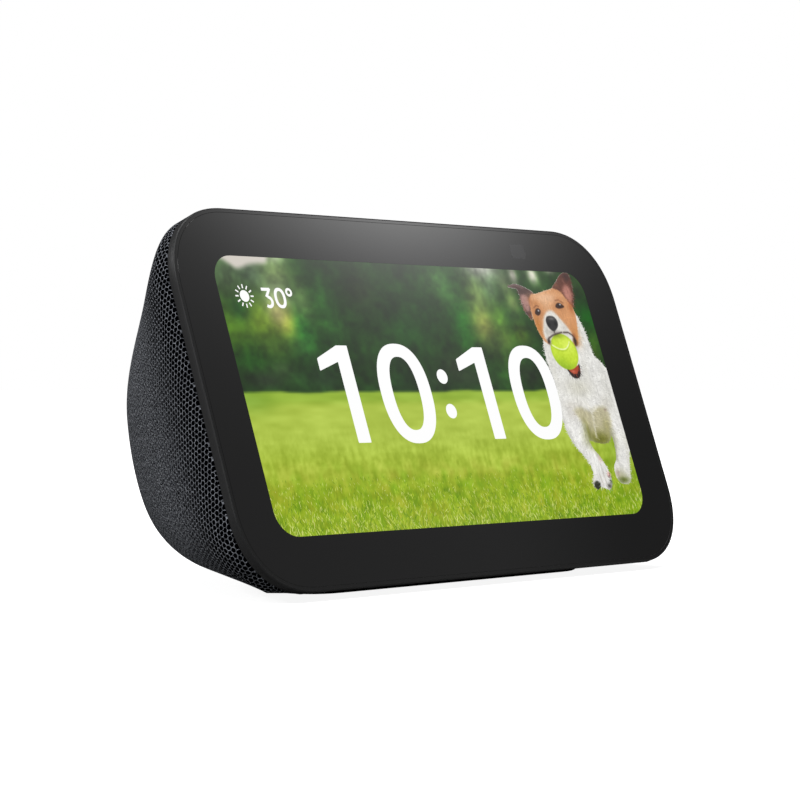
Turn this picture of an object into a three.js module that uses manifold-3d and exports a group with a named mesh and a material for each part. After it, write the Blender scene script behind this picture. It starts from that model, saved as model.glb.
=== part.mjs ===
// Tabletop smart display: a tilted glass face in a slim frame, in front of a rounded, fabric-covered
// body on a rubber foot. Millimetres, +Z up, the face looks towards -Y, the foot rests on z = 0.
import * as THREE from 'three';
import { mergeGeometries, mergeVertices } from 'three/addons/utils/BufferGeometryUtils.js';
import Module from 'manifold-3d';

const wasm = await Module();
wasm.setup();

// ---- driving dimensions ------------------------------------------------------------------------
const FACE_WIDTH = 147;              // across the face
const FACE_HEIGHT = 85;              // along the slope of the face
const FACE_TILT = THREE.MathUtils.degToRad(19.83);   // leaning back from vertical
const FACE_FOOT_Y = -45.5;           // lower front edge of the face
const FACE_FOOT_Z = 2;
const CORNER = 18.7;                 // length of a face corner along each side
const CORNER_POWER = 2.27;           // superellipse power of that corner
const CORNER_STEPS = 18;

const RIM_DEPTH = 2.15;              // rim of the frame, from the front to where the fabric starts
const FRAME_DEPTH = 5.5;             // rim and skirt together
const LIP = 0.85;                    // rim beside the glass
const GLASS_POCKET = 1.35;           // depth of the recess that takes the glass
const SEAL_REACH = 2;                // where the gasket's recess starts
const FRAME_WALL = 1.6;              // wall of the skirt
const LEDGE = 3.6;                   // reach of the ledge that carries the glass
const FRAME_BELLY = 1.6;             // height of the rim's flat underside
const SCREEN_WIDTH = 124.4;
const SCREEN_HEIGHT = 62.2;
const SCREEN_V = 42.83;              // middle of the lit area, up the face

const DEPTH_Y = 45.5;                // rearmost point of the body
const BULGE_Z = 36;                  // its height
const SIDE_POWER = 1.44;             // plan section: |x/w|^2 + |y/depth|^SIDE_POWER = 1
const FABRIC = 1.0;                  // knit sleeve
const SHELL_GAP = 0.3;
const SHELL_WALL = 1.8;
const GAP = 0.3;                     // between pieces that touch
const FOOT_HEIGHT = 2;               // lowest point of the body
const BASE_TOP = 6.3;                // top of the plate that closes the underside
const SKIRT = 1.9;                   // how far the skirt is drawn in, to pass under the fabric

const BUTTON_TRAVEL = 0.35;
const SWITCH_TOP = 79.7;             // top of a switch's plunger, up the face
const SHUTTER_TRAVEL = 6;
const CAMERA_U = 40.3;
const CAMERA_V = 78.9;
const STRIP_D = 11.4;                // button row, behind the face
const BUTTON_PITCH = 18;

const SPEAKER_Z = 39.2;
const SPEAKER_Y = 22.3;              // rear face of the speaker box
const SPEAKER_RADIUS = 18;
const JACK_Y = 21.3;                 // rear face of the power socket
const JACK_Z = 13.8;
const PORT_RADIUS = 5.3;             // recess that takes the plug

const COS = Math.cos(FACE_TILT);
const SIN = Math.sin(FACE_TILT);

// ---- finishes ----------------------------------------------------------------------------------
const finish = (color, roughness, metalness = 0) =>
  () => new THREE.MeshStandardMaterial({ color, roughness, metalness });
const blackPlastic = finish(0x26272a, 0.6);
const softBlack = finish(0x1b1c1e, 0.75);
const whitePlastic = finish(0xdcdcd8, 0.5);
const knit = finish(0x2b2d31, 0.95);
const rubber = finish(0x121213, 0.9);
const glass = finish(0x101113, 0.06);
const lens = finish(0x1c2430, 0.05);
const steel = finish(0xa8abae, 0.35, 1);
const aluminium = finish(0xc4c6c8, 0.45, 1);
const ferrite = finish(0x3c3d40, 0.7);
const board = finish(0x14532f, 0.5);
const paper = finish(0x4a453d, 0.9);
const copperFlex = finish(0xa8662c, 0.5);

// ---- geometry helpers --------------------------------------------------------------------------
// One closed, outward-facing mesh with shared corners and no flat triangles.
function weld(geometry) {
  const bare = geometry.clone();
  bare.deleteAttribute('normal');
  bare.deleteAttribute('uv');
  const merged = mergeVertices(bare, 1e-4);
  const points = merged.attributes.position;
  const corners = [0, 1, 2].map(() => new THREE.Vector3());
  const kept = [];
  let volume = 0;
  for (let i = 0; i < merged.index.count; i += 3) {
    const ids = [0, 1, 2].map((k) => merged.index.getX(i + k));
    if (ids[0] === ids[1] || ids[1] === ids[2] || ids[2] === ids[0]) continue;
    kept.push(...ids);
    corners.forEach((corner, k) => corner.fromBufferAttribute(points, ids[k]));
    volume += corners[0].dot(corners[1].clone().cross(corners[2]));
  }
  if (volume < 0) kept.reverse();
  merged.setIndex(kept);
  return merged;
}

function toManifold(geometry) {
  const merged = weld(geometry);
  return new wasm.Manifold(new wasm.Mesh({
    numProp: 3,
    vertProperties: Float32Array.from(merged.attributes.position.array),
    triVerts: Uint32Array.from(merged.index.array),
  }));
}

function toGeometry(manifold) {
  const cut = manifold.getMesh();
  const geometry = new THREE.BufferGeometry();
  geometry.setAttribute('position', new THREE.BufferAttribute(cut.vertProperties, 3));
  geometry.setIndex(new THREE.BufferAttribute(cut.triVerts, 1));
  return geometry;
}

function carve(body, ...tools) {
  return toGeometry(tools.reduce((left, tool) => left.subtract(toManifold(tool)), toManifold(body)));
}

function join(...bodies) {
  return toGeometry(bodies.map(toManifold).reduce((whole, body) => whole.add(body)));
}

// Box between two corners.
function block(x0, x1, y0, y1, z0, z1) {
  return new THREE.BoxGeometry(x1 - x0, y1 - y0, z1 - z0)
    .translate((x0 + x1) / 2, (y0 + y1) / 2, (z0 + z1) / 2);
}

// Outline extruded upwards (+Z), and outline in X and Z extruded backwards (+Y).
function riser(shape, z0, z1, curveSegments = 5) {
  return new THREE.ExtrudeGeometry(shape, { depth: z1 - z0, bevelEnabled: false, curveSegments })
    .translate(0, 0, z0);
}

function slab(shape, y0, y1, curveSegments = 5) {
  return riser(shape, 0, y1 - y0, curveSegments).rotateX(Math.PI / 2).translate(0, y1, 0);
}

// Rod or drilled hole along Z or Y.
function rodZ(x, y, radius, z0, z1, sides = 12) {
  return new THREE.CylinderGeometry(radius, radius, z1 - z0, sides)
    .rotateX(Math.PI / 2).translate(x, y, (z0 + z1) / 2);
}

function rodY(x, z, radius, y0, y1, sides = 12) {
  return new THREE.CylinderGeometry(radius, radius, y1 - y0, sides).translate(x, (y0 + y1) / 2, z);
}

function roundedRect(width, height, radius, x = 0, y = 0) {
  const shape = new THREE.Shape();
  const a = width / 2;
  const b = height / 2;
  shape.moveTo(x - a + radius, y - b);
  shape.lineTo(x + a - radius, y - b);
  shape.absarc(x + a - radius, y - b + radius, radius, -Math.PI / 2, 0);
  shape.lineTo(x + a, y + b - radius);
  shape.absarc(x + a - radius, y + b - radius, radius, 0, Math.PI / 2);
  shape.lineTo(x - a + radius, y + b);
  shape.absarc(x - a + radius, y + b - radius, radius, Math.PI / 2, Math.PI);
  shape.lineTo(x - a, y - b + radius);
  shape.absarc(x - a + radius, y - b + radius, radius, Math.PI, Math.PI * 1.5);
  return shape;
}

// Straight-sided outline from [x, y, reach] corners, each rounded by a curve of its own reach.
function softPolygon(corners) {
  const shape = new THREE.Shape();
  corners.forEach(([x, y, reach], i) => {
    const here = new THREE.Vector2(x, y);
    const before = new THREE.Vector2(...corners[(i + corners.length - 1) % corners.length]);
    const after = new THREE.Vector2(...corners[(i + 1) % corners.length]);
    const enter = before.sub(here).setLength(reach).add(here);
    const leave = after.sub(here).setLength(reach).add(here);
    if (i === 0) shape.moveTo(enter.x, enter.y);
    else shape.lineTo(enter.x, enter.y);
    shape.quadraticCurveTo(x, y, leave.x, leave.y);
  });
  return shape;
}

// Flat strip of the given width along X, folded along a path of [y, z] points.
function foldedStrip(x, width, thickness, path) {
  const along = path.map(([y, z]) => new THREE.Vector2(y, z));
  const sides = [1, -1].map((side) => along.map((point, i) => {
    const before = along[Math.max(i - 1, 0)];
    const after = along[Math.min(i + 1, along.length - 1)];
    const middle = after.clone().sub(before).normalize();
    const turn = i > 0 && i < along.length - 1 ? middle.dot(after.clone().sub(point).normalize()) : 1;
    const spread = thickness / 2 / turn;
    return new THREE.Vector2(point.x - middle.y * spread * side, point.y + middle.x * spread * side);
  }));
  const outline = [...sides[0], ...sides[1].reverse()];
  return new THREE.ExtrudeGeometry(new THREE.Shape(outline), { depth: width, bevelEnabled: false })
    .applyMatrix4(new THREE.Matrix4().set(0, 0, 1, 0, 1, 0, 0, 0, 0, 1, 0, 0, 0, 0, 0, 1))
    .translate(x - width / 2, 0, 0);
}

function cable(points, diameter) {
  const route = new THREE.CatmullRomCurve3(points.map((point) => new THREE.Vector3(...point)));
  const section = new THREE.Shape();
  section.absarc(0, 0, diameter / 2, 0, Math.PI * 2);
  return new THREE.ExtrudeGeometry(section, { steps: 10, extrudePath: route, curveSegments: 4 });
}

// Ring of revolution about the speaker's axis, from [radius, y] points for a rim radius of 20.
function turned(profile, segments = 20) {
  const points = profile.map(([radius, y]) => new THREE.Vector2(radius * SPEAKER_RADIUS / 20, y));
  return new THREE.LatheGeometry(points, segments).translate(0, 0, SPEAKER_Z);
}

const model = new THREE.Group();
const face = new THREE.Group();      // x across, y into the body, z up the slope of the face
face.position.set(0, FACE_FOOT_Y, FACE_FOOT_Z);
face.rotation.x = -FACE_TILT;
model.add(face);

function place(group, name, geometry, material) {
  const piece = new THREE.Mesh(weld(geometry), material());
  piece.name = name;
  group.add(piece);
}

// ---- face outline and body surface -------------------------------------------------------------
// Half width of the face outline, drawn in by an inset, at a height v up the slope.
function halfWidth(v, inset) {
  const corner = CORNER - inset;
  const toEdge = Math.min(v - inset, FACE_HEIGHT - inset - v);
  const reach = THREE.MathUtils.clamp(1 - toEdge / corner, 0, 1);
  return FACE_WIDTH / 2 - CORNER + corner * (1 - reach ** CORNER_POWER) ** (1 / CORNER_POWER);
}

function faceOutline(inset, steps = CORNER_STEPS) {
  const corner = CORNER - inset;
  const points = [];
  for (let quadrant = 0; quadrant < 4; quadrant += 1) {
    const right = quadrant === 0 || quadrant === 3;
    const top = quadrant < 2;
    for (let i = 0; i <= steps; i += 1) {
      const angle = (quadrant + i / steps) * Math.PI / 2;
      const across = corner * Math.abs(Math.cos(angle)) ** (2 / CORNER_POWER);
      const up = corner * Math.abs(Math.sin(angle)) ** (2 / CORNER_POWER);
      const x = FACE_WIDTH / 2 - CORNER + across;
      const z = FACE_HEIGHT / 2 - CORNER + up;
      points.push(new THREE.Vector2(right ? x : -x, FACE_HEIGHT / 2 + (top ? z : -z)));
    }
  }
  return new THREE.Shape(points);
}

// Point given across the face, up its slope and behind its front, in the body's directions.
function onFacePoint(u, v, depth) {
  return [u, FACE_FOOT_Y + v * SIN + depth * COS, FACE_FOOT_Z + v * COS - depth * SIN];
}

// Side view of the body from the top of the frame, over the back, to the underside.
const profileTop = new THREE.Vector2(
  FACE_FOOT_Y + FACE_HEIGHT * SIN + FRAME_DEPTH * COS,
  FACE_FOOT_Z + FACE_HEIGHT * COS - FRAME_DEPTH * SIN,
);
const heel = new THREE.Vector2(20, 5.8);
const profile = [
  new THREE.CubicBezierCurve(
    profileTop,
    new THREE.Vector2(profileTop.x + 17 * COS, profileTop.y - 17 * SIN),
    new THREE.Vector2(DEPTH_Y, BULGE_Z + 21),
    new THREE.Vector2(DEPTH_Y, BULGE_Z),
  ),
  new THREE.CubicBezierCurve(
    new THREE.Vector2(DEPTH_Y, BULGE_Z),
    new THREE.Vector2(DEPTH_Y, BULGE_Z - 17),
    new THREE.Vector2(35.5, 7.4),
    heel,
  ),
  new THREE.CubicBezierCurve(
    heel,
    new THREE.Vector2(4, 4),
    new THREE.Vector2(-16, 2.9),
    new THREE.Vector2(-34, FOOT_HEIGHT),
  ),
];
const PROFILE_STEPS = [11, 6, 4];
const AROUND_STEPS = 20;

// Solid of the body drawn in by an inset: a straight neck inside the frame, then the curve behind it.
function bodySolid(inset) {
  const levels = profile.flatMap((curve, part) => {
    const steps = PROFILE_STEPS[part];
    const last = part === profile.length - 1;
    return Array.from({ length: steps + (last ? 1 : 0) }, (_, i) => {
      const point = curve.getPoint(i / steps);
      const along = curve.getTangent(i / steps);
      return new THREE.Vector2(point.x + along.y * inset, point.y - along.x * inset);
    });
  });
  const neckDepth = 1;
  const top = FACE_HEIGHT - inset;
  const lowest = (depth) => (inset + depth * SIN) / COS;
  const neckPoint = (v, side) => {
    const up = top - (top - v) * (top - lowest(neckDepth)) / (top - lowest(FRAME_DEPTH));
    return onFacePoint(side * halfWidth(up, inset), up, neckDepth);
  };
  const vertices = [];
  for (const level of levels) {
    const height = Math.max(level.y, FOOT_HEIGHT + inset);
    const v = (height - FACE_FOOT_Z + FRAME_DEPTH * SIN) / COS;
    const half = halfWidth(v, inset);
    const front = FACE_FOOT_Y + v * SIN + FRAME_DEPTH * COS;
    const depth = Math.max(level.x - front, 0);
    vertices.push(neckPoint(v, 1));
    for (let j = 0; j <= AROUND_STEPS; j += 1) {
      const angle = Math.PI * j / AROUND_STEPS;
      const back = Math.sin(angle) ** (2 / SIDE_POWER);
      vertices.push([half * Math.cos(angle), front + depth * back, height]);
    }
    vertices.push(neckPoint(v, -1));
  }
  const ring = AROUND_STEPS + 3;
  const last = vertices.length;
  vertices.push(onFacePoint(0, top, (neckDepth + FRAME_DEPTH) / 2));
  vertices.push([0, profile[2].v3.x - 1, FOOT_HEIGHT + inset]);
  const index = [];
  for (let i = 0; i < levels.length - 1; i += 1) {
    for (let j = 0; j < ring; j += 1) {
      const a = i * ring + j;
      const b = i * ring + (j + 1) % ring;
      index.push(a, b, a + ring, b, b + ring, a + ring);
    }
  }
  for (let j = 0; j < ring; j += 1) {
    const k = (j + 1) % ring;
    const base = (levels.length - 1) * ring;
    index.push(last, k, j, last + 1, base + j, base + k);
  }
  const geometry = new THREE.BufferGeometry();
  geometry.setAttribute('position', new THREE.Float32BufferAttribute(vertices.flat(), 3));
  geometry.setIndex(index);
  return geometry;
}

// Cutters given in the face's own directions, turned into the body's.
function onFace(geometry) {
  return geometry.rotateX(-FACE_TILT).translate(0, FACE_FOOT_Y, FACE_FOOT_Z);
}

function offFace(geometry) {
  return geometry.translate(0, -FACE_FOOT_Y, -FACE_FOOT_Z).rotateX(FACE_TILT);
}

// ---- plan outlines of the underside ------------------------------------------------------------
const mirrored = (corners) => [
  ...corners,
  ...corners.map(([x, y, reach]) => [-x, y, reach]).reverse(),
];
const footPlan = softPolygon(mirrored([[47, -35.5, 9.5], [47, -23.2, 2.5], [18.7, 24.5, 8]]));
const basePlan = (grow) => softPolygon(
  mirrored([[40 + grow, -33 - grow, 5], [40 + grow, -20, 3], [23 + grow, 6 + grow, 5]]));
const chassisPlan = softPolygon(mirrored([[44, -27, 4], [44, -19, 4], [27, 6, 4]]));

// ---- front frame and glass ---------------------------------------------------------------------
function addFrame() {
  const under = (height) => offFace(block(-80, 80, -80, 0, -20, height));
  const round = 0.7;
  const rounded = new THREE.ExtrudeGeometry(faceOutline(round), {
    depth: RIM_DEPTH - round, bevelEnabled: true, bevelThickness: round, bevelSize: round,
    bevelSegments: 3, curveSegments: 1,
  }).rotateX(Math.PI / 2).translate(0, RIM_DEPTH, 0);
  const rim = toManifold(carve(rounded, slab(faceOutline(-1), RIM_DEPTH, RIM_DEPTH + 2), under(FRAME_BELLY)));
  const skirt = carve(slab(faceOutline(SKIRT, 8), 1.7, FRAME_DEPTH), under(FOOT_HEIGHT + SKIRT));
  const hollow = carve(slab(faceOutline(SKIRT + FRAME_WALL, 8), 3.3, FRAME_DEPTH + 1),
    under(FOOT_HEIGHT + SKIRT + FRAME_WALL));
  const pockets = [
    slab(faceOutline(LIP), -1, GLASS_POCKET),
    slab(faceOutline(SEAL_REACH, 8), 0, 2.1),
    slab(faceOutline(LEDGE, 8), 1, 4),
    hollow,
  ];
  place(face, 'front_frame', carve(toGeometry(rim.add(toManifold(skirt))), ...pockets), blackPlastic);

  const inset = LIP + 0.2;
  const edge = 0.15;
  const pane = new THREE.ExtrudeGeometry(faceOutline(inset + edge), {
    depth: 1.1 - 2 * edge, bevelEnabled: true, bevelThickness: edge, bevelSize: edge,
    bevelSegments: 1, curveSegments: 1,
  }).rotateX(Math.PI / 2).translate(0, 1.2 - edge, 0);
  place(face, 'cover_glass', pane, glass);

  const foam = carve(slab(faceOutline(SEAL_REACH + 0.2, 6), 1.4, 1.9), slab(faceOutline(3.5, 6), 1, 2.5));
  place(face, 'display_gasket', foam, rubber);
}

function addDisplay() {
  const low = SCREEN_V - SCREEN_HEIGHT / 2;
  const high = SCREEN_V + SCREEN_HEIGHT / 2;
  const half = SCREEN_WIDTH / 2;
  place(face, 'lcd_panel', block(-half - 2, half + 2, 1.5, 2.9, low - 2.6, high + 1.1), glass);
  place(face, 'backlight', block(-half - 2, half + 2, 3.2, 4.8, low - 2.6, high + 1.1), whitePlastic);

  const tray = block(-half - 2.8, half + 2.8, 5.1, 6.1, low - 3.2, high + 1.6);
  const lightening = [-40, 0, 40].map((x) => block(x - 12, x + 12, 4, 7, SCREEN_V - 14, SCREEN_V + 14));
  const posts = boardCorners.map(([x, z]) => rodY(x, z, 2.5, 5.6, 9.2));
  const threads = boardCorners.map(([x, z]) => rodY(x, z, 1.2, 6.6, 10));
  place(face, 'display_bracket', carve(join(carve(tray, ...lightening), ...posts), ...threads), steel);

  const fold = [[2.2, low - 2.9], [2.2, low - 4.3], [8.4, low - 4.3], [8.4, low + 6]];
  place(face, 'display_flex', foldedStrip(0, 20, 0.25, fold), copperFlex);
}

// ---- camera, light sensor and shutter ----------------------------------------------------------
function addCamera() {
  const housing = join(
    block(CAMERA_U - 3, CAMERA_U + 3, 4.4, 7.1, CAMERA_V - 3, CAMERA_V + 2.1),
    rodY(CAMERA_U, CAMERA_V, 2.3, 2.9, 5, 24),
  );
  const barrel = rodY(CAMERA_U, CAMERA_V, 1.6, 2, 3.7, 24);
  place(face, 'camera_module', carve(housing, barrel), softBlack);

  const dome = [[0, 3.1], [0.6, 3.14], [1.0, 3.24], [1.3, 3.42], [1.3, 3.55], [0, 3.55]];
  const points = dome.map(([radius, y]) => new THREE.Vector2(radius, y));
  const lensShape = new THREE.LatheGeometry(points, 24).translate(CAMERA_U, 0, CAMERA_V);
  place(face, 'camera_lens', lensShape, lens);

  const sensorU = CAMERA_U - 7.3;
  place(face, 'camera_board', block(sensorU - 2.5, CAMERA_U + 4, 7.4, 8.2, CAMERA_V - 3.4, CAMERA_V + 1.8),
    board);
  place(face, 'light_sensor', block(sensorU - 1, sensorU + 1, 6.2, 7.1, CAMERA_V - 1, CAMERA_V + 1),
    softBlack);
  place(face, 'light_guide', rodY(sensorU, CAMERA_V, 0.8, 1.5, 5.9), whitePlastic);

  // The blade stands beside the lens when open. Its arm reaches back past the camera to the knob.
  const open = CAMERA_U + SHUTTER_TRAVEL;
  const armU = open + 5.3;
  const blade = join(
    block(open - 2.6, armU + 0.5, 1.6, 1.95, CAMERA_V - 2.3, CAMERA_V + 2.3),
    block(armU - 0.5, armU + 0.5, 1.6, 10.4, CAMERA_V - 2, CAMERA_V + 0.4),
    block(open - 0.5, armU + 0.5, 9.2, 10.4, CAMERA_V - 2, CAMERA_V + 0.4),
  );
  place(face, 'shutter_blade', blade, whitePlastic);
  const stem = block(open - 1.2, open + 1.2, 8.6, 9.5, CAMERA_V + 0.7, 84.7);
  const cap = roundedRect(9, 3.2, 1.5, open, 8.8);
  const ribs = [-2, 0, 2].map((x) => block(open + x - 0.25, open + x + 0.25, 7, 10.6, 85.35, 86));
  place(face, 'shutter_knob', carve(join(stem, riser(cap, 84.5, 85.6)), ...ribs), blackPlastic);

  const middle = open - SHUTTER_TRAVEL / 2;
  const plate = riser(roundedRect(17.6, 4.6, 2.2, middle, 8.8), 82.2, 84.2);
  place(face, 'shutter_plate', carve(plate, block(open - SHUTTER_TRAVEL - 1.6, open + 1.6, 7.8, 9.8, 80, 85)),
    blackPlastic);
  return [middle, open];
}

// ---- button row --------------------------------------------------------------------------------
const buttonNames = ['mute_button', 'volume_down_button', 'volume_up_button'];
const switchNames = ['mute_switch', 'volume_down_switch', 'volume_up_switch'];
const stripShape = (grow) => roundedRect(66 + 2 * grow, 8.6 + 2 * grow, 4 + grow, 0, STRIP_D);
const buttonShape = (x, grow) => roundedRect(12.4 + 2 * grow, 5 + 2 * grow, 2.4 + grow, x, STRIP_D);

function addButtons() {
  const micSpots = [-BUTTON_PITCH / 2, BUTTON_PITCH / 2];
  const strip = carve(
    riser(stripShape(0), 81, 84.7),
    riser(roundedRect(63.6, 6.2, 2.8, 0, STRIP_D), 80, 83.2),
    ...[-1, 0, 1].map((i) => riser(buttonShape(i * BUTTON_PITCH, 0.3), 82, 86)),
    ...micSpots.map((x) => rodZ(x, STRIP_D, 0.5, 82, 86, 10)),
  );
  place(face, 'control_strip', strip, blackPlastic);
  [-1, 0, 1].forEach((i) => {
    const x = i * BUTTON_PITCH;
    const button = join(
      riser(buttonShape(x, 0), 82, 85.1),
      riser(roundedRect(13.6, 5.8, 2.6, x, STRIP_D), 81.7, 82.8),
      rodZ(x, STRIP_D, 1.5, SWITCH_TOP + BUTTON_TRAVEL + 0.15, 82),
    );
    place(face, buttonNames[i + 1], button, blackPlastic);
    const can = block(x - 2.2, x + 2.2, STRIP_D - 2.2, STRIP_D + 2.2, 77.7, 79.1);
    place(face, switchNames[i + 1], join(can, rodZ(x, STRIP_D, 1.1, 79, SWITCH_TOP)), softBlack);
  });
  place(face, 'button_board', block(-30, 30, STRIP_D - 2.8, STRIP_D + 5, 76.4, 77.4), board);
  micSpots.forEach((x, i) => {
    const side = ['left', 'right'][i];
    place(face, `microphone_${side}`, block(x - 1.75, x + 1.75, STRIP_D - 1.3, STRIP_D + 1.3, 77.7, 78.7),
      steel);
    const tube = carve(rodZ(x, STRIP_D, 1.5, 79, 82.9), rodZ(x, STRIP_D, 0.6, 78, 84, 10));
    place(face, `microphone_gasket_${side}`, tube, rubber);
  });
  place(face, 'button_flex', foldedStrip(-24, 8, 0.25, [[12.6, 76.1], [12.6, 71], [11.3, 69.5], [11.3, 64]]),
    copperFlex);
}

// ---- electronics -------------------------------------------------------------------------------
const boardCorners = [[-48, 17], [48, 17], [-48, 68], [48, 68]];

function addElectronics() {
  const plate = block(-52, 52, 9.5, 10.7, 13, 72);
  place(face, 'main_board', carve(plate, ...boardCorners.map(([x, z]) => rodY(x, z, 1.5, 9, 11))), board);
  boardCorners.forEach(([x, z], i) => {
    const screw = join(rodY(x, z, 2.2, 10.95, 12.1), rodY(x, z, 0.9, 7.2, 11.2));
    place(face, `board_screw_${i + 1}`, carve(screw, rodY(x, z, 0.9, 11.5, 13, 6)), steel);
  });
  place(face, 'processor', block(-22, -6, 10.95, 12.8, 36, 52), softBlack);
  const spreader = join(
    block(-42, 4, 13.1, 14.4, 24, 62),
    ...Array.from({ length: 6 }, (_, i) => block(-38 + i * 7.4, -37 + i * 7.4, 14, 16.4, 25, 61)),
  );
  place(face, 'heat_spreader', spreader, aluminium);
  place(face, 'shield_can', carve(block(12, 36, 10.95, 13, 34, 56), block(12.4, 35.6, 10, 12.6, 34.4, 55.6)),
    steel);
  [-1, 1].forEach((side) => {
    const name = side < 0 ? 'antenna_left' : 'antenna_right';
    place(face, name, block(Math.min(side * 57, side * 65), Math.max(side * 57, side * 65), 12, 12.6, 30, 56),
      copperFlex);
  });
}

// ---- body shells, base and foot ----------------------------------------------------------------
const SPEAKER_SLOTS = [-12, -4, 4, 12];

function addShells([shutterU]) {
  const frontCut = (depth) => onFace(block(-90, 90, -10, depth + GAP, -20, 110));
  const strip = (grow) => onFace(riser(stripShape(grow), 75, 95));
  const shutter = (grow) => onFace(
    riser(roundedRect(17.6 + 2 * grow, 4.6 + 2 * grow, 2.2 + grow, shutterU, 8.8), 75, 95));
  const base = (grow) => riser(basePlan(grow), -1, 10);
  const port = () => rodY(0, JACK_Z, PORT_RADIUS + 1.5, JACK_Y - 2, DEPTH_Y + 1, 24);

  const openings = [frontCut(RIM_DEPTH), strip(GAP), shutter(GAP), base(GAP), port()];
  place(model, 'fabric_cover', carve(bodySolid(0), bodySolid(FABRIC), ...openings), knit);

  const outer = FABRIC + SHELL_GAP;
  const slots = SPEAKER_SLOTS.map((rise) => {
    const width = 2 * Math.sqrt(18 * 18 - rise * rise);
    return slab(roundedRect(width, 4, 1.9, 0, SPEAKER_Z + rise), 24, 60, 3);
  });
  const shell = carve(bodySolid(outer), bodySolid(outer + SHELL_WALL), frontCut(FRAME_DEPTH), strip(GAP),
    shutter(GAP), base(GAP), port(), ...slots);
  place(model, 'rear_shell', shell, blackPlastic);

  const cup = carve(
    rodY(0, JACK_Z, PORT_RADIUS + 1.2, JACK_Y + GAP, DEPTH_Y, 24),
    rodY(0, JACK_Z, PORT_RADIUS, JACK_Y + 1.1, DEPTH_Y + 1, 24),
    rodY(0, JACK_Z, 3.4, JACK_Y, DEPTH_Y, 20),
  );
  const outside = toManifold(bodySolid(0));
  place(model, 'port_bezel', toGeometry(toManifold(cup).intersect(outside)), blackPlastic);
}

const baseScrews = [[-32, -23], [32, -23], [-18, 0], [18, 0]];

function addBase() {
  const pad = new THREE.ExtrudeGeometry(footPlan, {
    depth: 8, bevelEnabled: true, bevelThickness: 0.7, bevelSize: 0.7, bevelOffset: -0.7,
    bevelSegments: 2, curveSegments: 7,
  }).translate(0, 0, 0.7);
  place(model, 'rubber_foot', carve(pad, bodySolid(-GAP)), rubber);

  const plate = toManifold(riser(basePlan(0), 0, BASE_TOP)).intersect(toManifold(bodySolid(0)));
  const holes = baseScrews.flatMap(([x, y]) => [rodZ(x, y, 1.6, 1, 7), rodZ(x, y, 3, 1, 5.4)]);
  place(model, 'base_plate', carve(toGeometry(plate), ...holes), blackPlastic);
  baseScrews.forEach(([x, y], i) => {
    const screw = join(rodZ(x, y, 2.7, 4.3, 5.2), rodZ(x, y, 1.2, 5, 11));
    place(model, `base_screw_${i + 1}`, carve(screw, rodZ(x, y, 1, 3, 4.8, 6)), steel);
  });

  const inside = toManifold(bodySolid(FABRIC + SHELL_GAP + SHELL_WALL + GAP));
  const tray = riser(chassisPlan, BASE_TOP + 1.2, BASE_TOP + 2.9);
  const floor = toGeometry(toManifold(tray).intersect(inside));
  const bosses = baseScrews.map(([x, y]) => rodZ(x, y, 3, BASE_TOP + 2.5, 12.5));
  const threads = baseScrews.map(([x, y]) => rodZ(x, y, 1.5, 5, 11.6));
  place(model, 'chassis', carve(join(floor, ...bosses), ...threads), softBlack);
}

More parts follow.
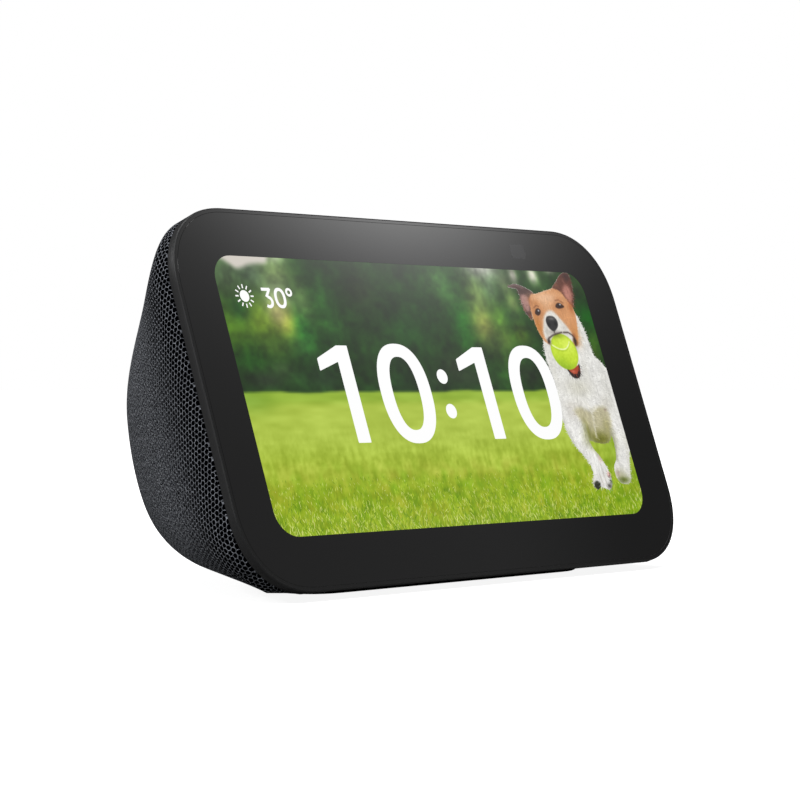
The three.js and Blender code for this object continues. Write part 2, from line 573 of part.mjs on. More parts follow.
// ---- speaker, facing back through the slots and the knit -----------------------------------------
function addSpeaker() {
  const tub = slab(roundedRect(54, 37, 11, 0, SPEAKER_Z), -4, SPEAKER_Y);
  const hollow = slab(roundedRect(50.4, 33.4, 9.2, 0, SPEAKER_Z), -2.2, SPEAKER_Y - 1.8);
  const mouth = rodY(0, SPEAKER_Z, SPEAKER_RADIUS - 2.7, SPEAKER_Y - 5, SPEAKER_Y + 5, 24);
  place(model, 'speaker_box', carve(tub, hollow, mouth), softBlack);

  const seat = SPEAKER_Y + 0.25;
  const seal = turned([[17.4, seat], [19.8, seat], [19.8, seat + 0.6], [17.4, seat + 0.6], [17.4, seat]]);
  place(model, 'speaker_gasket', seal, rubber);

  const rim = seat + 0.85;
  const basket = [[17.2, rim], [20, rim], [20, rim + 1], [16.6, rim + 1], [15.9, rim - 1.5],
    [13.4, rim - 11], [9.5, rim - 11], [9.5, rim - 12], [14.2, rim - 12], [16.6, rim - 2], [17.2, rim]];
  place(model, 'speaker_basket', turned(basket), steel);
  const plateY = rim - 12.25;
  const plate = [[7.3, plateY - 2], [14, plateY - 2], [14, plateY], [7.3, plateY], [7.3, plateY - 2]];
  place(model, 'speaker_top_plate', turned(plate), steel);
  const magnetY = plateY - 2.25;
  const magnet = [[8.6, magnetY - 5], [15, magnetY - 5], [15, magnetY], [8.6, magnetY], [8.6, magnetY - 5]];
  place(model, 'speaker_magnet', turned(magnet), ferrite);
  const yokeY = magnetY - 5.25;
  const yoke = [[0, yokeY - 2], [14, yokeY - 2], [14, yokeY], [5.9, yokeY], [5.9, plateY + 0.2],
    [0, plateY + 0.2]];
  place(model, 'speaker_yoke', turned(yoke), steel);

  const cone = [[13.2, rim + 0.6], [7.4, rim - 4.2], [5.0, rim - 3], [2.6, rim - 2.1], [0, rim - 1.8],
    [0, rim - 2.3], [2.4, rim - 2.6], [4.8, rim - 3.5], [6.4, rim - 4.9], [6.4, plateY - 3.5],
    [6.9, plateY - 3.5], [6.9, rim - 5.3], [7.7, rim - 4.8], [13.4, rim + 0.1], [13.2, rim + 0.6]];
  place(model, 'speaker_cone', turned(cone, 24), paper);
  const roll = [[13.75, rim + 0.2], [14.2, rim + 1.2], [14.9, rim + 1.6], [15.6, rim + 1.2],
    [15.85, rim + 0.25], [15.85, rim - 0.3], [15.5, rim + 0.6], [14.9, rim + 1], [14.4, rim + 0.7],
    [13.95, rim - 0.2], [13.75, rim + 0.2]];
  place(model, 'speaker_surround', turned(roll, 24), rubber);
  const damper = [[7.3, rim - 8.4], [8.6, rim - 7.6], [9.9, rim - 8.4], [11.2, rim - 7.6], [12.6, rim - 8.2],
    [12.6, rim - 8.6], [11.2, rim - 8], [9.9, rim - 8.8], [8.6, rim - 8], [7.3, rim - 8.8],
    [7.3, rim - 8.4]];
  place(model, 'speaker_spider', turned(damper), paper);
}

// ---- power inlet and wiring ----------------------------------------------------------------------
function addPower() {
  const body = block(-4.8, 4.8, JACK_Y - 12.3, JACK_Y, JACK_Z - 4.2, JACK_Z + 4.2);
  const bore = rodY(0, JACK_Z, 2.9, JACK_Y - 10, JACK_Y + 1, 20);
  const pin = rodY(0, JACK_Z, 0.9, JACK_Y - 11, JACK_Y - 1);
  place(model, 'dc_jack', join(carve(body, bore), pin), softBlack);
  const supply = [[0, 7.8, JACK_Z], [5, 2.5, 16.2], [20, -8, 18.5], [36, -17, 22], [44, -24.3, 26.4]];
  place(model, 'dc_cable', cable(supply, 2), rubber);
  const audio = [[-27.5, 6, 40], [-31, 3, 41], [-40, -6, 43], [-46, -13, 45]];
  place(model, 'speaker_cable', cable(audio, 1.4), rubber);
}

addFrame();
addDisplay();
const shutterSpots = addCamera();
addButtons();
addElectronics();
addShells(shutterSpots);
addBase();
addSpeaker();
addPower();

export default model;
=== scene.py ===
import math

import bmesh
import bpy
import numpy as np
from mathutils import Matrix, Vector


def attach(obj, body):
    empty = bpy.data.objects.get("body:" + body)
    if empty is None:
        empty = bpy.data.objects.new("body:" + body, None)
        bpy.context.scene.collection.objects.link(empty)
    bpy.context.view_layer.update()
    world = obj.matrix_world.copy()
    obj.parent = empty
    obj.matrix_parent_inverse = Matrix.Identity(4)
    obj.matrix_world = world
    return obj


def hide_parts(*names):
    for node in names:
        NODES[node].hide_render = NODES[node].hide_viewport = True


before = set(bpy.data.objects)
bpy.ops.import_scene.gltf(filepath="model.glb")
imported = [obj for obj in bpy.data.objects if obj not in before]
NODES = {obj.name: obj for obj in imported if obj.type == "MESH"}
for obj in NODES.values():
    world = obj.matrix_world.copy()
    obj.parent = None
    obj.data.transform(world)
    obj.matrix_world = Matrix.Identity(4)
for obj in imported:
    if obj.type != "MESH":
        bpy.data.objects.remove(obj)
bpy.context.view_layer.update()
MM = 0.001

# ---- driving dimensions, in millimetres --------------------------------------------------------
FACE_WIDTH = 147.0                   # across the face
FACE_HEIGHT = 85.0                   # along the slope of the face
FACE_TILT = math.radians(19.83)      # leaning back from vertical
FACE_FOOT = (-45.5, 2.0)             # Y and Z of the lower front edge
CORNER = 18.7                        # length of a face corner along each side
CORNER_POWER = 2.27                  # superellipse power of that corner
RIM_DEPTH = 2.15                     # rim of the frame, from the front to where the fabric starts
FRAME_DEPTH = 5.5                    # rim and skirt together: behind it the body curves
DEPTH_Y = 45.5                       # rearmost point of the body
BULGE_Z = 36.0                       # its height
SIDE_POWER = 1.44                    # plan section: |x/w|^2 + |y/depth|^SIDE_POWER = 1
FOOT_HEIGHT = 2.0
GAP = 0.3
FABRIC = 1.0

COS = math.cos(FACE_TILT)
SIN = math.sin(FACE_TILT)


def on_face(across, up, deep):
    """A point given across the face, up its slope and behind its front plane, in metres."""
    y = FACE_FOOT[0] + up * SIN + deep * COS
    z = FACE_FOOT[1] + up * COS - deep * SIN
    return np.stack(np.broadcast_arrays(across, y, z), -1) * MM


def skirt_up(z):
    """How far up the slope the rear end of the frame is, at a height z."""
    return (z - FACE_FOOT[1] + FRAME_DEPTH * SIN) / COS


def skirt_y(up):
    """Y of the rear end of the frame, that far up the slope."""
    return FACE_FOOT[0] + up * SIN + FRAME_DEPTH * COS


def circle(steps):
    """Angles of points spread evenly round a circle."""
    return np.linspace(0, 2 * math.pi, steps, endpoint=False)


def link(name, data):
    made = bpy.data.objects.new(name, data)
    bpy.context.scene.collection.objects.link(made)
    return made


def mesh_from(name, points, faces):
    mesh = bpy.data.meshes.new(name)
    mesh.from_pydata(np.asarray(points, float).tolist(), [], faces)
    return mesh


def square(name, half):
    corners = [(-half, -half, 0), (half, -half, 0), (half, half, 0), (-half, half, 0)]
    return link(name, mesh_from(name, corners, [(0, 1, 2, 3)]))


# ---- camera and lamps --------------------------------------------------------------------------
CAMERA_AT = (-0.407146, -0.391495, 0.046009)
CAMERA_TURN = math.radians(-47.41)   # to the right of straight on
CAMERA_DIP = math.radians(0.55)
CAMERA_LENS = 108.55


def add_camera():
    data = bpy.data.cameras.new("camera")
    data.lens = CAMERA_LENS
    data.sensor_width = 36
    data.clip_start = 0.01
    camera = link("camera", data)
    camera.location = CAMERA_AT
    camera.rotation_euler = (math.pi / 2 - CAMERA_DIP, 0, CAMERA_TURN)
    bpy.context.scene.camera = camera


def add_light(name, at, aim, size, power):
    data = bpy.data.lights.new(name, "AREA")
    data.shape = "RECTANGLE"
    data.size = size
    data.energy = power
    light = link(name, data)
    light.location = at
    light.rotation_euler = (Vector(aim) - Vector(at)).to_track_quat("-Z", "Y").to_euler()
    light.visible_camera = False


# ---- node helpers ------------------------------------------------------------------------------
class Shader:
    """A material under construction. Each method adds one node and returns its output."""

    def __init__(self, name):
        self.material = bpy.data.materials.new(name)
        self.material.use_nodes = True
        self.tree = self.material.node_tree
        self.tree.nodes.clear()
        self.out = self.tree.nodes.new("ShaderNodeOutputMaterial")

    def node(self, kind, inputs=None, **settings):
        made = self.tree.nodes.new("ShaderNode" + kind)
        for key, value in settings.items():
            setattr(made, key, value)
        for key, value in (inputs or {}).items():
            if isinstance(value, bpy.types.NodeSocket):
                self.tree.links.new(value, made.inputs[key])
            else:
                made.inputs[key].default_value = value
        return made

    def math(self, operation, a, b=0.0, c=0.0):
        return self.node("Math", {0: a, 1: b, 2: c}, operation=operation).outputs[0]

    def times(self, a, b):
        return self.math("MULTIPLY", a, b)

    def plus(self, a, b):
        return self.math("ADD", a, b)

    def spread(self, value, low, high, to_low=0.0, to_high=1.0):
        inputs = {"Value": value, "From Min": low, "From Max": high,
                  "To Min": to_low, "To Max": to_high}
        return self.node("MapRange", inputs, interpolation_type="SMOOTHSTEP").outputs["Result"]

    def mix(self, share, a, b):
        made = self.node("Mix", data_type="RGBA")
        for socket, value in ((made.inputs["Factor"], share), (made.inputs[6], a), (made.inputs[7], b)):
            if isinstance(value, bpy.types.NodeSocket):
                self.tree.links.new(value, socket)
            else:
                socket.default_value = value
        return made.outputs[2]

    def noise(self, where, scale, detail=2.0, roughness=0.5, out="Fac"):
        inputs = {"Vector": where, "Scale": scale, "Detail": detail, "Roughness": roughness}
        return self.node("TexNoise", inputs).outputs[out]

    def place(self):
        return self.node("TexCoord").outputs["Object"]

    def bump(self, height, distance):
        return self.node("Bump", {"Height": height, "Distance": distance}).outputs["Normal"]

    def finish(self, shader):
        self.tree.links.new(shader.outputs[0], self.out.inputs["Surface"])
        return self.material


# ---- floor, world and softbox ------------------------------------------------------------------
FLOOR_HALF = 6.0
FLOOR_BELOW = 0.0002                 # keeps the floor clear of the foot
GLOW_FROM, GLOW_TO = 0.1, 0.5        # distance from the object over which the floor grows brighter


def add_floor():
    """Pale floor that glows white to the camera and stays dim to everything else."""
    floor = square("floor", FLOOR_HALF)
    floor.location.z = -FLOOR_BELOW
    shader = Shader("pale_floor")
    soft = shader.noise(shader.place(), 3.0)
    tint = shader.mix(soft, (0.86, 0.86, 0.86, 1), (0.9, 0.9, 0.9, 1))
    matte = shader.node("BsdfDiffuse", {"Color": tint})
    away = shader.node("VectorMath", {0: shader.place()}, operation="LENGTH").outputs["Value"]
    glow = shader.node("Emission", {"Strength": shader.spread(away, GLOW_FROM, GLOW_TO, 0.9, 1.0)})
    seen = shader.node("LightPath").outputs["Is Camera Ray"]
    both = shader.node("AddShader", {0: matte.outputs[0], 1: glow.outputs[0]})
    dim = shader.node("BsdfDiffuse", {"Color": (0.25, 0.25, 0.25, 1)})
    mixed = shader.node("MixShader", {0: seen, 1: dim.outputs[0], 2: both.outputs[0]})
    floor.data.materials.append(shader.finish(mixed))


WORLD_LIGHT = 0.10


def add_world():
    """White to the camera, faint light to everything else."""
    world = bpy.data.worlds.new("studio")
    bpy.context.scene.world = world
    world.use_nodes = True
    tree = world.node_tree
    tree.nodes.clear()
    kinds = ("OutputWorld", "Background", "Background", "LightPath", "MixShader")
    out, white, room, seen, mixed = (tree.nodes.new("ShaderNode" + kind) for kind in kinds)
    for background, strength in ((white, 1.0), (room, WORLD_LIGHT)):
        background.inputs["Color"].default_value = (1, 1, 1, 1)
        background.inputs["Strength"].default_value = strength
    tree.links.new(seen.outputs["Is Camera Ray"], mixed.inputs[0])
    tree.links.new(room.outputs[0], mixed.inputs[1])
    tree.links.new(white.outputs[0], mixed.inputs[2])
    tree.links.new(mixed.outputs[0], out.inputs["Surface"])


SOFTBOX_AWAY = 0.75                  # the card stands parallel to the face, this far in front
SOFTBOX_HALF = 0.65                  # half its width and height
SOFTBOX_BRIGHT = 2.62
SOFTBOX_SIGMA = 0.154                # how far its glow reaches to the sides
SOFTBOX_FADE = 0.0525                # how fast it fades downwards, and
SOFTBOX_FADE_POWER = 1.15            # how the fading gathers speed
SOFTBOX_RISE = 0.2                   # where it starts to fade towards the card's upper edge
SOFTBOX_EVEN = (0.4, 0.22)           # faint even glow, over its left part and its right
GLOW_SPOT = (-2, 84)                 # where the camera sees its brightest part on the glass


def add_softbox():
    """Large soft reflector that only glossy rays see: the broad sheen across the top of the glass."""
    normal = Vector((0, -COS, SIN))
    foot = Vector((0, *FACE_FOOT)) * MM
    behind = (Vector(CAMERA_AT) - foot).dot(normal)
    mirrored = Vector(CAMERA_AT) - 2 * behind * normal
    spot = Vector(on_face(*GLOW_SPOT, 0).tolist())
    at = spot + (spot - mirrored) * SOFTBOX_AWAY / behind
    card = square("softbox", SOFTBOX_HALF)
    card.matrix_world = Matrix.Translation(at) @ Matrix.Rotation(math.pi / 2 - FACE_TILT, 4, "X")
    shader = Shader("softbox_glow")
    where = shader.node("SeparateXYZ", {0: shader.place()})
    aside = shader.math("DIVIDE", where.outputs["X"], SOFTBOX_SIGMA)
    across = shader.math("EXPONENT", shader.times(shader.times(aside, aside), -1.0))
    fall = shader.math("MAXIMUM", shader.math("DIVIDE", where.outputs["Y"], -SOFTBOX_FADE), 0.0)
    below = shader.times(shader.math("POWER", fall, SOFTBOX_FADE_POWER), -1.0)
    upward = shader.spread(where.outputs["Y"], SOFTBOX_RISE, SOFTBOX_HALF, 1.0, 0.0)
    down = shader.times(shader.math("EXPONENT", below), upward)
    peak = shader.times(shader.times(across, down), SOFTBOX_BRIGHT)
    even = shader.times(shader.spread(where.outputs["X"], 0.0, 0.2, *SOFTBOX_EVEN),
                        shader.spread(where.outputs["Y"], -0.2, 0.0, 0.75, 1.0))
    power = shader.plus(peak, even)
    card.data.materials.append(shader.finish(shader.node("Emission", {"Strength": power})))
    for ray in ("camera", "diffuse", "shadow", "transmission"):
        setattr(card, "visible_" + ray, False)


def add_stage():
    """Camera, floor, world, softbox and three soft lamps outside the view."""
    bpy.context.scene.view_settings.view_transform = "Standard"
    add_camera()
    add_floor()
    add_world()
    add_softbox()
    add_light("key_light", (-0.9, -0.5, 1.1), (0, 0, 0.04), 0.9, 10)
    add_light("top_light", (0.1, 0.1, 1.4), (0, 0, 0), 1.2, 8)
    add_light("fill_light", (-1.0, 1.0, 0.7), (0, 0, 0.04), 1.0, 5)


add_stage()


# ---- finishes ----------------------------------------------------------------------------------
GLASS_IOR = 1.52


def grained(name, low, high, roughness, grain, depth, metallic=0.0, specular=0.5):
    """Moulded or matt surface: colour that wanders a little, fine grain in gloss and relief."""
    shader = Shader(name)
    where = shader.place()
    tint = shader.mix(shader.noise(where, 60.0, 3.0), low, high)
    fine = shader.noise(where, grain, 3.0, 0.6)
    gloss = shader.spread(fine, 0.3, 0.7, roughness[0], roughness[1])
    inputs = {"Base Color": tint, "Roughness": gloss, "Normal": shader.bump(fine, depth),
              "Metallic": metallic, "Specular IOR Level": specular}
    return shader.finish(shader.node("BsdfPrincipled", inputs))


def brushed(name, low, high, roughness, stretch):
    """Metal with fine parallel scratches."""
    shader = Shader(name)
    turned = shader.node("Mapping", {"Vector": shader.place(), "Scale": stretch}).outputs[0]
    lines = shader.noise(turned, 900.0, 4.0, 0.7)
    tint = shader.mix(lines, low, high)
    gloss = shader.spread(lines, 0.3, 0.7, roughness[0], roughness[1])
    inputs = {"Base Color": tint, "Roughness": gloss, "Normal": shader.bump(lines, 4e-6),
              "Metallic": 1.0}
    return shader.finish(shader.node("BsdfPrincipled", inputs))


def smears(shader):
    """Gloss of a touched glass surface."""
    return shader.spread(shader.noise(shader.place(), 45.0, 4.0, 0.6), 0.45, 0.75, 0.02, 0.06)


def glass_finish():
    """Glass with black print right behind it."""
    shader = Shader("printed_glass")
    soft = shader.noise(shader.place(), 30.0)
    tint = shader.mix(soft, (0.002, 0.002, 0.0022, 1), (0.003, 0.003, 0.0033, 1))
    inputs = {"Base Color": tint, "Roughness": smears(shader), "IOR": GLASS_IOR}
    return shader.finish(shader.node("BsdfPrincipled", inputs))


def coated_glass_finish():
    shader = Shader("coated_lens_glass")
    # base colour turns purple towards grazing angles: painted reflection of the lens coating
    rim = shader.node("LayerWeight", {"Blend": 0.4}).outputs["Facing"]
    tint = shader.mix(rim, (0.012, 0.014, 0.03, 1), (0.05, 0.02, 0.06, 1))
    inputs = {"Base Color": tint, "Roughness": 0.04, "Coat Weight": 1.0, "Coat Roughness": 0.02}
    return shader.finish(shader.node("BsdfPrincipled", inputs))


def board_finish():
    """Green solder mask over copper tracks."""
    shader = Shader("solder_mask")
    where = shader.place()
    weave = shader.node("TexBrick", {"Vector": where, "Scale": 260.0, "Mortar Size": 0.06,
                                     "Color1": (0.008, 0.07, 0.03, 1), "Color2": (0.01, 0.09, 0.035, 1),
                                     "Mortar": (0.03, 0.16, 0.06, 1)})
    soft = shader.noise(where, 90.0)
    tint = shader.mix(shader.spread(soft, 0.4, 0.7), weave.outputs["Color"], (0.01, 0.1, 0.04, 1))
    inputs = {"Base Color": tint, "Roughness": 0.32, "Normal": shader.bump(weave.outputs["Fac"], 1e-5)}
    return shader.finish(shader.node("BsdfPrincipled", inputs))


# one finish for each slot of the CAD nodes
FINISHES = {
    "frame_plastic": grained("frame_plastic_look", (0.013, 0.0133, 0.014, 1), (0.017, 0.0173, 0.018, 1),
                             (0.42, 0.56), 5200.0, 6e-6),
    "cover_glass": glass_finish(),
    "screen": grained("display_back_look", (0.01, 0.011, 0.012, 1), (0.016, 0.017, 0.018, 1),
                      (0.2, 0.35), 3000.0, 3e-6),
    "foot_rubber": grained("foot_rubber_look", (0.009, 0.009, 0.0095, 1), (0.016, 0.016, 0.017, 1),
                           (0.62, 0.85), 3600.0, 2e-5, specular=0.3),
    "button_plastic": grained("button_plastic_look", (0.022, 0.0225, 0.024, 1),
                              (0.03, 0.0305, 0.032, 1), (0.36, 0.5), 5200.0, 5e-6),
    "inner_plastic": grained("inner_plastic_look", (0.016, 0.016, 0.017, 1), (0.024, 0.024, 0.025, 1),
                             (0.5, 0.7), 2600.0, 1.2e-5),
    "white_plastic": grained("white_plastic_look", (0.66, 0.66, 0.64, 1), (0.74, 0.74, 0.72, 1),
                             (0.4, 0.55), 3200.0, 5e-6),
    "steel": brushed("steel_look", (0.44, 0.45, 0.46, 1), (0.62, 0.62, 0.63, 1), (0.28, 0.42),
                     (1, 1, 0.06)),
    "spreader_aluminium": grained("aluminium_look", (0.6, 0.61, 0.62, 1), (0.72, 0.73, 0.74, 1),
                                  (0.38, 0.5), 4200.0, 8e-6, metallic=1.0),
    "circuit_board": board_finish(),
    "chip_black": grained("chip_look", (0.014, 0.014, 0.015, 1), (0.022, 0.022, 0.023, 1),
                          (0.45, 0.62), 4000.0, 8e-6),
    "flex_copper": grained("flex_film_look", (0.36, 0.17, 0.05, 1), (0.46, 0.23, 0.07, 1),
                           (0.3, 0.42), 1500.0, 6e-6),
    "camera_glass": coated_glass_finish(),
    "cone_paper": grained("cone_paper_look", (0.035, 0.032, 0.029, 1), (0.06, 0.055, 0.05, 1),
                          (0.75, 0.9), 1800.0, 4e-5),
    "ferrite": grained("ferrite_look", (0.03, 0.03, 0.032, 1), (0.05, 0.05, 0.052, 1),
                       (0.55, 0.75), 2200.0, 2e-5),
    "soft_seal": grained("soft_seal_look", (0.012, 0.012, 0.0125, 1), (0.02, 0.02, 0.021, 1),
                         (0.7, 0.88), 3000.0, 3e-5),
}


def repaint_nodes():
    """Gives the CAD nodes that stay in view the finish of their slot."""
    for node in NODES.values():
        for holder in node.material_slots:
            if holder.material.name in FINISHES:
                holder.material = FINISHES[holder.material.name]


def new_piece(name, mesh, body, slot, material=None, instead_of=()):
    piece = link(name, mesh)
    piece.data.materials.append(material or FINISHES[slot])
    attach(piece, body)
    if instead_of:
        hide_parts(*instead_of)
    return piece


# ---- body surface ------------------------------------------------------------------------------
def half_width(up):
    """Half width of the face outline at a height up the slope."""
    reach = np.clip(1 - np.minimum(up, FACE_HEIGHT - up) / CORNER, 0, 1)
    return FACE_WIDTH / 2 - CORNER + CORNER * (1 - reach ** CORNER_POWER) ** (1 / CORNER_POWER)


PROFILE_TOP = (FACE_FOOT[0] + FACE_HEIGHT * SIN + FRAME_DEPTH * COS,
               FACE_FOOT[1] + FACE_HEIGHT * COS - FRAME_DEPTH * SIN)
HEEL = (20, 5.8)                     # where the back turns into the underside
PROFILE = (                          # Y and Z of the back's middle line, as three curves
    (PROFILE_TOP, (PROFILE_TOP[0] + 17 * COS, PROFILE_TOP[1] - 17 * SIN),
     (DEPTH_Y, BULGE_Z + 21), (DEPTH_Y, BULGE_Z)),
    ((DEPTH_Y, BULGE_Z), (DEPTH_Y, BULGE_Z - 17), (35.5, 7.4), HEEL),
    (HEEL, (4, 4), (-16, 2.9), (-34, FOOT_HEIGHT)),
)
PROFILE_ROWS = (60, 44, 16)          # rows of the knit's mesh along each curve,
UNDER_ROWS = 2                       # under the front edge,
NECK_ROWS = 3                        # and forward to the rim
COLUMNS = 150


def bezier(handles, t):
    a, b, c, d = (np.array(point, float) for point in handles)
    s = 1 - t
    return s ** 3 * a + 3 * s * s * t * b + 3 * s * t * t * c + t ** 3 * d


def sleeve_rows():
    """Rows of points across the sleeve, from the top of the frame over the back to the underside."""
    turn = np.linspace(0, math.pi, COLUMNS + 1)
    back = np.sin(turn) ** (2 / SIDE_POWER)
    rows = []
    for stretch, handles in enumerate(PROFILE):
        for i in range(PROFILE_ROWS[stretch] + (stretch == len(PROFILE) - 1)):
            deep, high = bezier(handles, i / PROFILE_ROWS[stretch])
            high = max(high, FOOT_HEIGHT)
            up = skirt_up(high)
            front = skirt_y(up)
            y = front + max(deep - front, 0) * back
            rows.append(np.stack([half_width(up) * np.cos(turn), y, np.full_like(y, high)], -1))
    last = rows[-1]
    for i in range(1, UNDER_ROWS + 1):
        row = last.copy()
        row[:, 1] += (last[0][1] - last[:, 1]) * i / UNDER_ROWS
        rows.append(row)
    return rows


def add_neck(work, front):
    """Carries the sleeve's front edge forward along the face outline, keeping its underside level.
    Returns how far up the slope each of its corners belongs."""
    def spot(vert):
        return tuple(round(value, 7) for value in vert.co)

    def lowest(depth):
        return depth * SIN / COS

    edges = [edge for edge in work.edges if edge.is_boundary]
    starts = {}
    heights = {}
    for vert in {vert for edge in edges for vert in edge.verts}:
        starts[spot(vert)] = (vert.co.x / MM, skirt_up(vert.co.z / MM))
    for i in range(1, NECK_ROWS + 1):
        depth = FRAME_DEPTH + (front - FRAME_DEPTH) * i / NECK_ROWS
        room = (FACE_HEIGHT - lowest(depth)) / (FACE_HEIGHT - lowest(FRAME_DEPTH))
        made = bmesh.ops.extrude_edge_only(work, edges=edges)["geom"]
        edges = [item for item in made if isinstance(item, bmesh.types.BMEdge) and item.is_boundary]
        moved = {}
        for vert in [item for item in made if isinstance(item, bmesh.types.BMVert)]:
            across, up = starts[spot(vert)]
            risen = FACE_HEIGHT - (FACE_HEIGHT - up) * room
            vert.co = on_face(across * half_width(risen) / half_width(up), risen, depth).tolist()
            moved[spot(vert)] = (across, up)
            heights[vert] = up
        starts = moved
    return heights


def stadium(width, height, x, y, steps=12):
    """Outline of a slot with round ends, in its own plane."""
    radius = height / 2
    reach = width / 2 - radius
    turn = np.linspace(-math.pi / 2, math.pi / 2, steps + 1)
    right = np.stack([x + reach + radius * np.cos(turn), y + radius * np.sin(turn)], -1)
    left = np.stack([x - reach - radius * np.cos(turn), y - radius * np.sin(turn)], -1)
    return np.concatenate([right, left])


def prism(name, bottom, top):
    """Closed solid between two outlines of the same number of points."""
    count = len(bottom)
    sides = [(i, (i + 1) % count, count + (i + 1) % count, count + i) for i in range(count)]
    caps = [tuple(range(count))[::-1], tuple(range(count, 2 * count))]
    mesh = mesh_from(name, np.concatenate([bottom, top]), sides + caps)
    work = bmesh.new()
    work.from_mesh(mesh)
    bmesh.ops.recalc_face_normals(work, faces=work.faces)
    work.to_mesh(mesh)
    work.free()
    return link(name, mesh)


def upright(name, outline, low, high):
    """Cutter standing on the face's slope: its outline runs across and behind the face."""
    ends = [on_face(outline[:, 0], up, outline[:, 1]) for up in (low, high)]
    return prism(name, *ends)


def apply_modifiers(piece):
    depsgraph = bpy.context.evaluated_depsgraph_get()
    made = bpy.data.meshes.new_from_object(piece.evaluated_get(depsgraph))
    piece.modifiers.clear()
    piece.data = made


def cut(piece, cutters):
    for cutter in cutters:
        boolean = piece.modifiers.new("opening", "BOOLEAN")
        boolean.operation = "DIFFERENCE"
        boolean.solver = "EXACT"
        boolean.object = cutter
    apply_modifiers(piece)
    for cutter in cutters:
        bpy.data.objects.remove(cutter)


def unwrap(piece):
    bpy.context.view_layer.objects.active = piece
    piece.select_set(True)
    bpy.ops.object.mode_set(mode="EDIT")
    bpy.ops.mesh.select_all(action="SELECT")
    bpy.ops.uv.unwrap(method="MINIMUM_STRETCH", margin=0.0)
    bpy.ops.object.mode_set(mode="OBJECT")
    piece.select_set(False)


def knit_scale(mesh):
    """Millimetres per unit of UV, from the sleeve's own area and its area in UV."""
    mesh.calc_loop_triangles()
    uv = np.zeros(len(mesh.loops) * 2)
    mesh.uv_layers.active.data.foreach_get("uv", uv)
    corners = uv.reshape(-1, 2)[np.array([tri.loops for tri in mesh.loop_triangles])]
    ab, ac = corners[:, 1] - corners[:, 0], corners[:, 2] - corners[:, 0]
    flat = abs(ab[:, 0] * ac[:, 1] - ab[:, 1] * ac[:, 0]).sum() / 2
    real = sum(tri.area for tri in mesh.loop_triangles)
    return math.sqrt(real / flat) / MM


# ---- knit sleeve -------------------------------------------------------------------------------
STRIP = (66, 8.6, 0, 11.4)           # button strip: width, depth, middle across and behind the face
SHUTTER_PLATE = (17.6, 4.6, 43.3, 8.8)
TOP_CUT = (74, 95)                   # from and to, up the slope, of the cuts for these two
JACK_Y = 21.3
JACK_Z = 13.8
PORT_RADIUS = 6.8                    # opening in the sleeve round the power inlet
BASE_CUT = (-1, 9)                   # from and to, in height, of the cut for the base
INSIDE = (0, 0, 0.035)               # a point well inside the body, in metres
FINE_FROM = -0.037                   # where the meshes start to close up towards the back, and
FINE_TO = -0.018                     # where they have become fine: depths behind the face, in metres
CELL = 1.22                          # a knit mesh, across
ROOT3 = math.sqrt(3)


def soft_corners(corners, steps=6):
    """Straight-sided outline of (x, y, reach) corners, each rounded by a curve of its own reach."""
    points = []
    count = len(corners)
    for i, (x, y, reach) in enumerate(corners):
        here = np.array((x, y), float)
        ends = []
        for other in (corners[i - 1], corners[(i + 1) % count]):
            away = np.array(other[:2], float) - here
            ends.append(here + away * reach / np.linalg.norm(away))
        for t in np.linspace(0, 1, steps + 1):
            points.append((1 - t) ** 2 * ends[0] + 2 * t * (1 - t) * here + t * t * ends[1])
    return np.array(points)


def mirrored(corners):
    return [*corners, *[(-x, y, reach) for x, y, reach in reversed(corners)]]


BASE_CORNERS = mirrored([(40.3, -33.3, 5), (40.3, -20, 3), (23.3, 6.3, 5)])


def sleeve_cutters():
    plan = soft_corners(BASE_CORNERS)
    base = [np.column_stack([plan, np.full(len(plan), z)]) * MM for z in BASE_CUT]
    turn = circle(48)
    ring = np.stack([PORT_RADIUS * np.cos(turn), JACK_Z + PORT_RADIUS * np.sin(turn)], -1)
    port = [np.column_stack([ring[:, 0], np.full(len(ring), y), ring[:, 1]]) * MM
            for y in (JACK_Y - 2, DEPTH_Y + 1)]
    tops = [upright("top_cutter", stadium(width + 2 * GAP, depth + 2 * GAP, x, y), *TOP_CUT)
            for width, depth, x, y in (STRIP, SHUTTER_PLATE)]
    return [*tops, prism("base_cutter", *base), prism("port_cutter", *port)]


def build_sleeve():
    rows = sleeve_rows()
    across = COLUMNS + 1
    quads = [(r * across + c, r * across + c + 1, (r + 1) * across + c + 1, (r + 1) * across + c)
             for r in range(len(rows) - 1) for c in range(COLUMNS)]
    mesh = mesh_from("knit_sleeve", np.concatenate(rows) * MM, quads)
    work = bmesh.new()
    work.from_mesh(mesh)
    bmesh.ops.remove_doubles(work, verts=work.verts, dist=2e-6)
    heights = add_neck(work, RIM_DEPTH + GAP)
    bmesh.ops.recalc_face_normals(work, faces=work.faces)
    outward = sum(face.normal.dot(face.calc_center_median() - Vector(INSIDE)) for face in work.faces)
    if outward < 0:
        bmesh.ops.reverse_faces(work, faces=work.faces)
    heel_up = skirt_up(HEEL[1])
    near = 1e-3
    on_seam = {vert for vert in work.verts
               if abs(vert.co.z / MM - HEEL[1]) < near or abs(heights.get(vert, -9) - heel_up) < near}
    for edge in work.edges:
        edge.seam = on_seam.issuperset(edge.verts)
    work.to_mesh(mesh)
    work.free()
    piece = link("knit_sleeve", mesh)
    unwrap(piece)
    return piece


def thicken(piece):
    wall = piece.modifiers.new("thickness", "SOLIDIFY")
    wall.thickness = FABRIC * MM
    wall.offset = -1
    cut(piece, sleeve_cutters())
    for face in piece.data.polygons:
        face.use_smooth = True


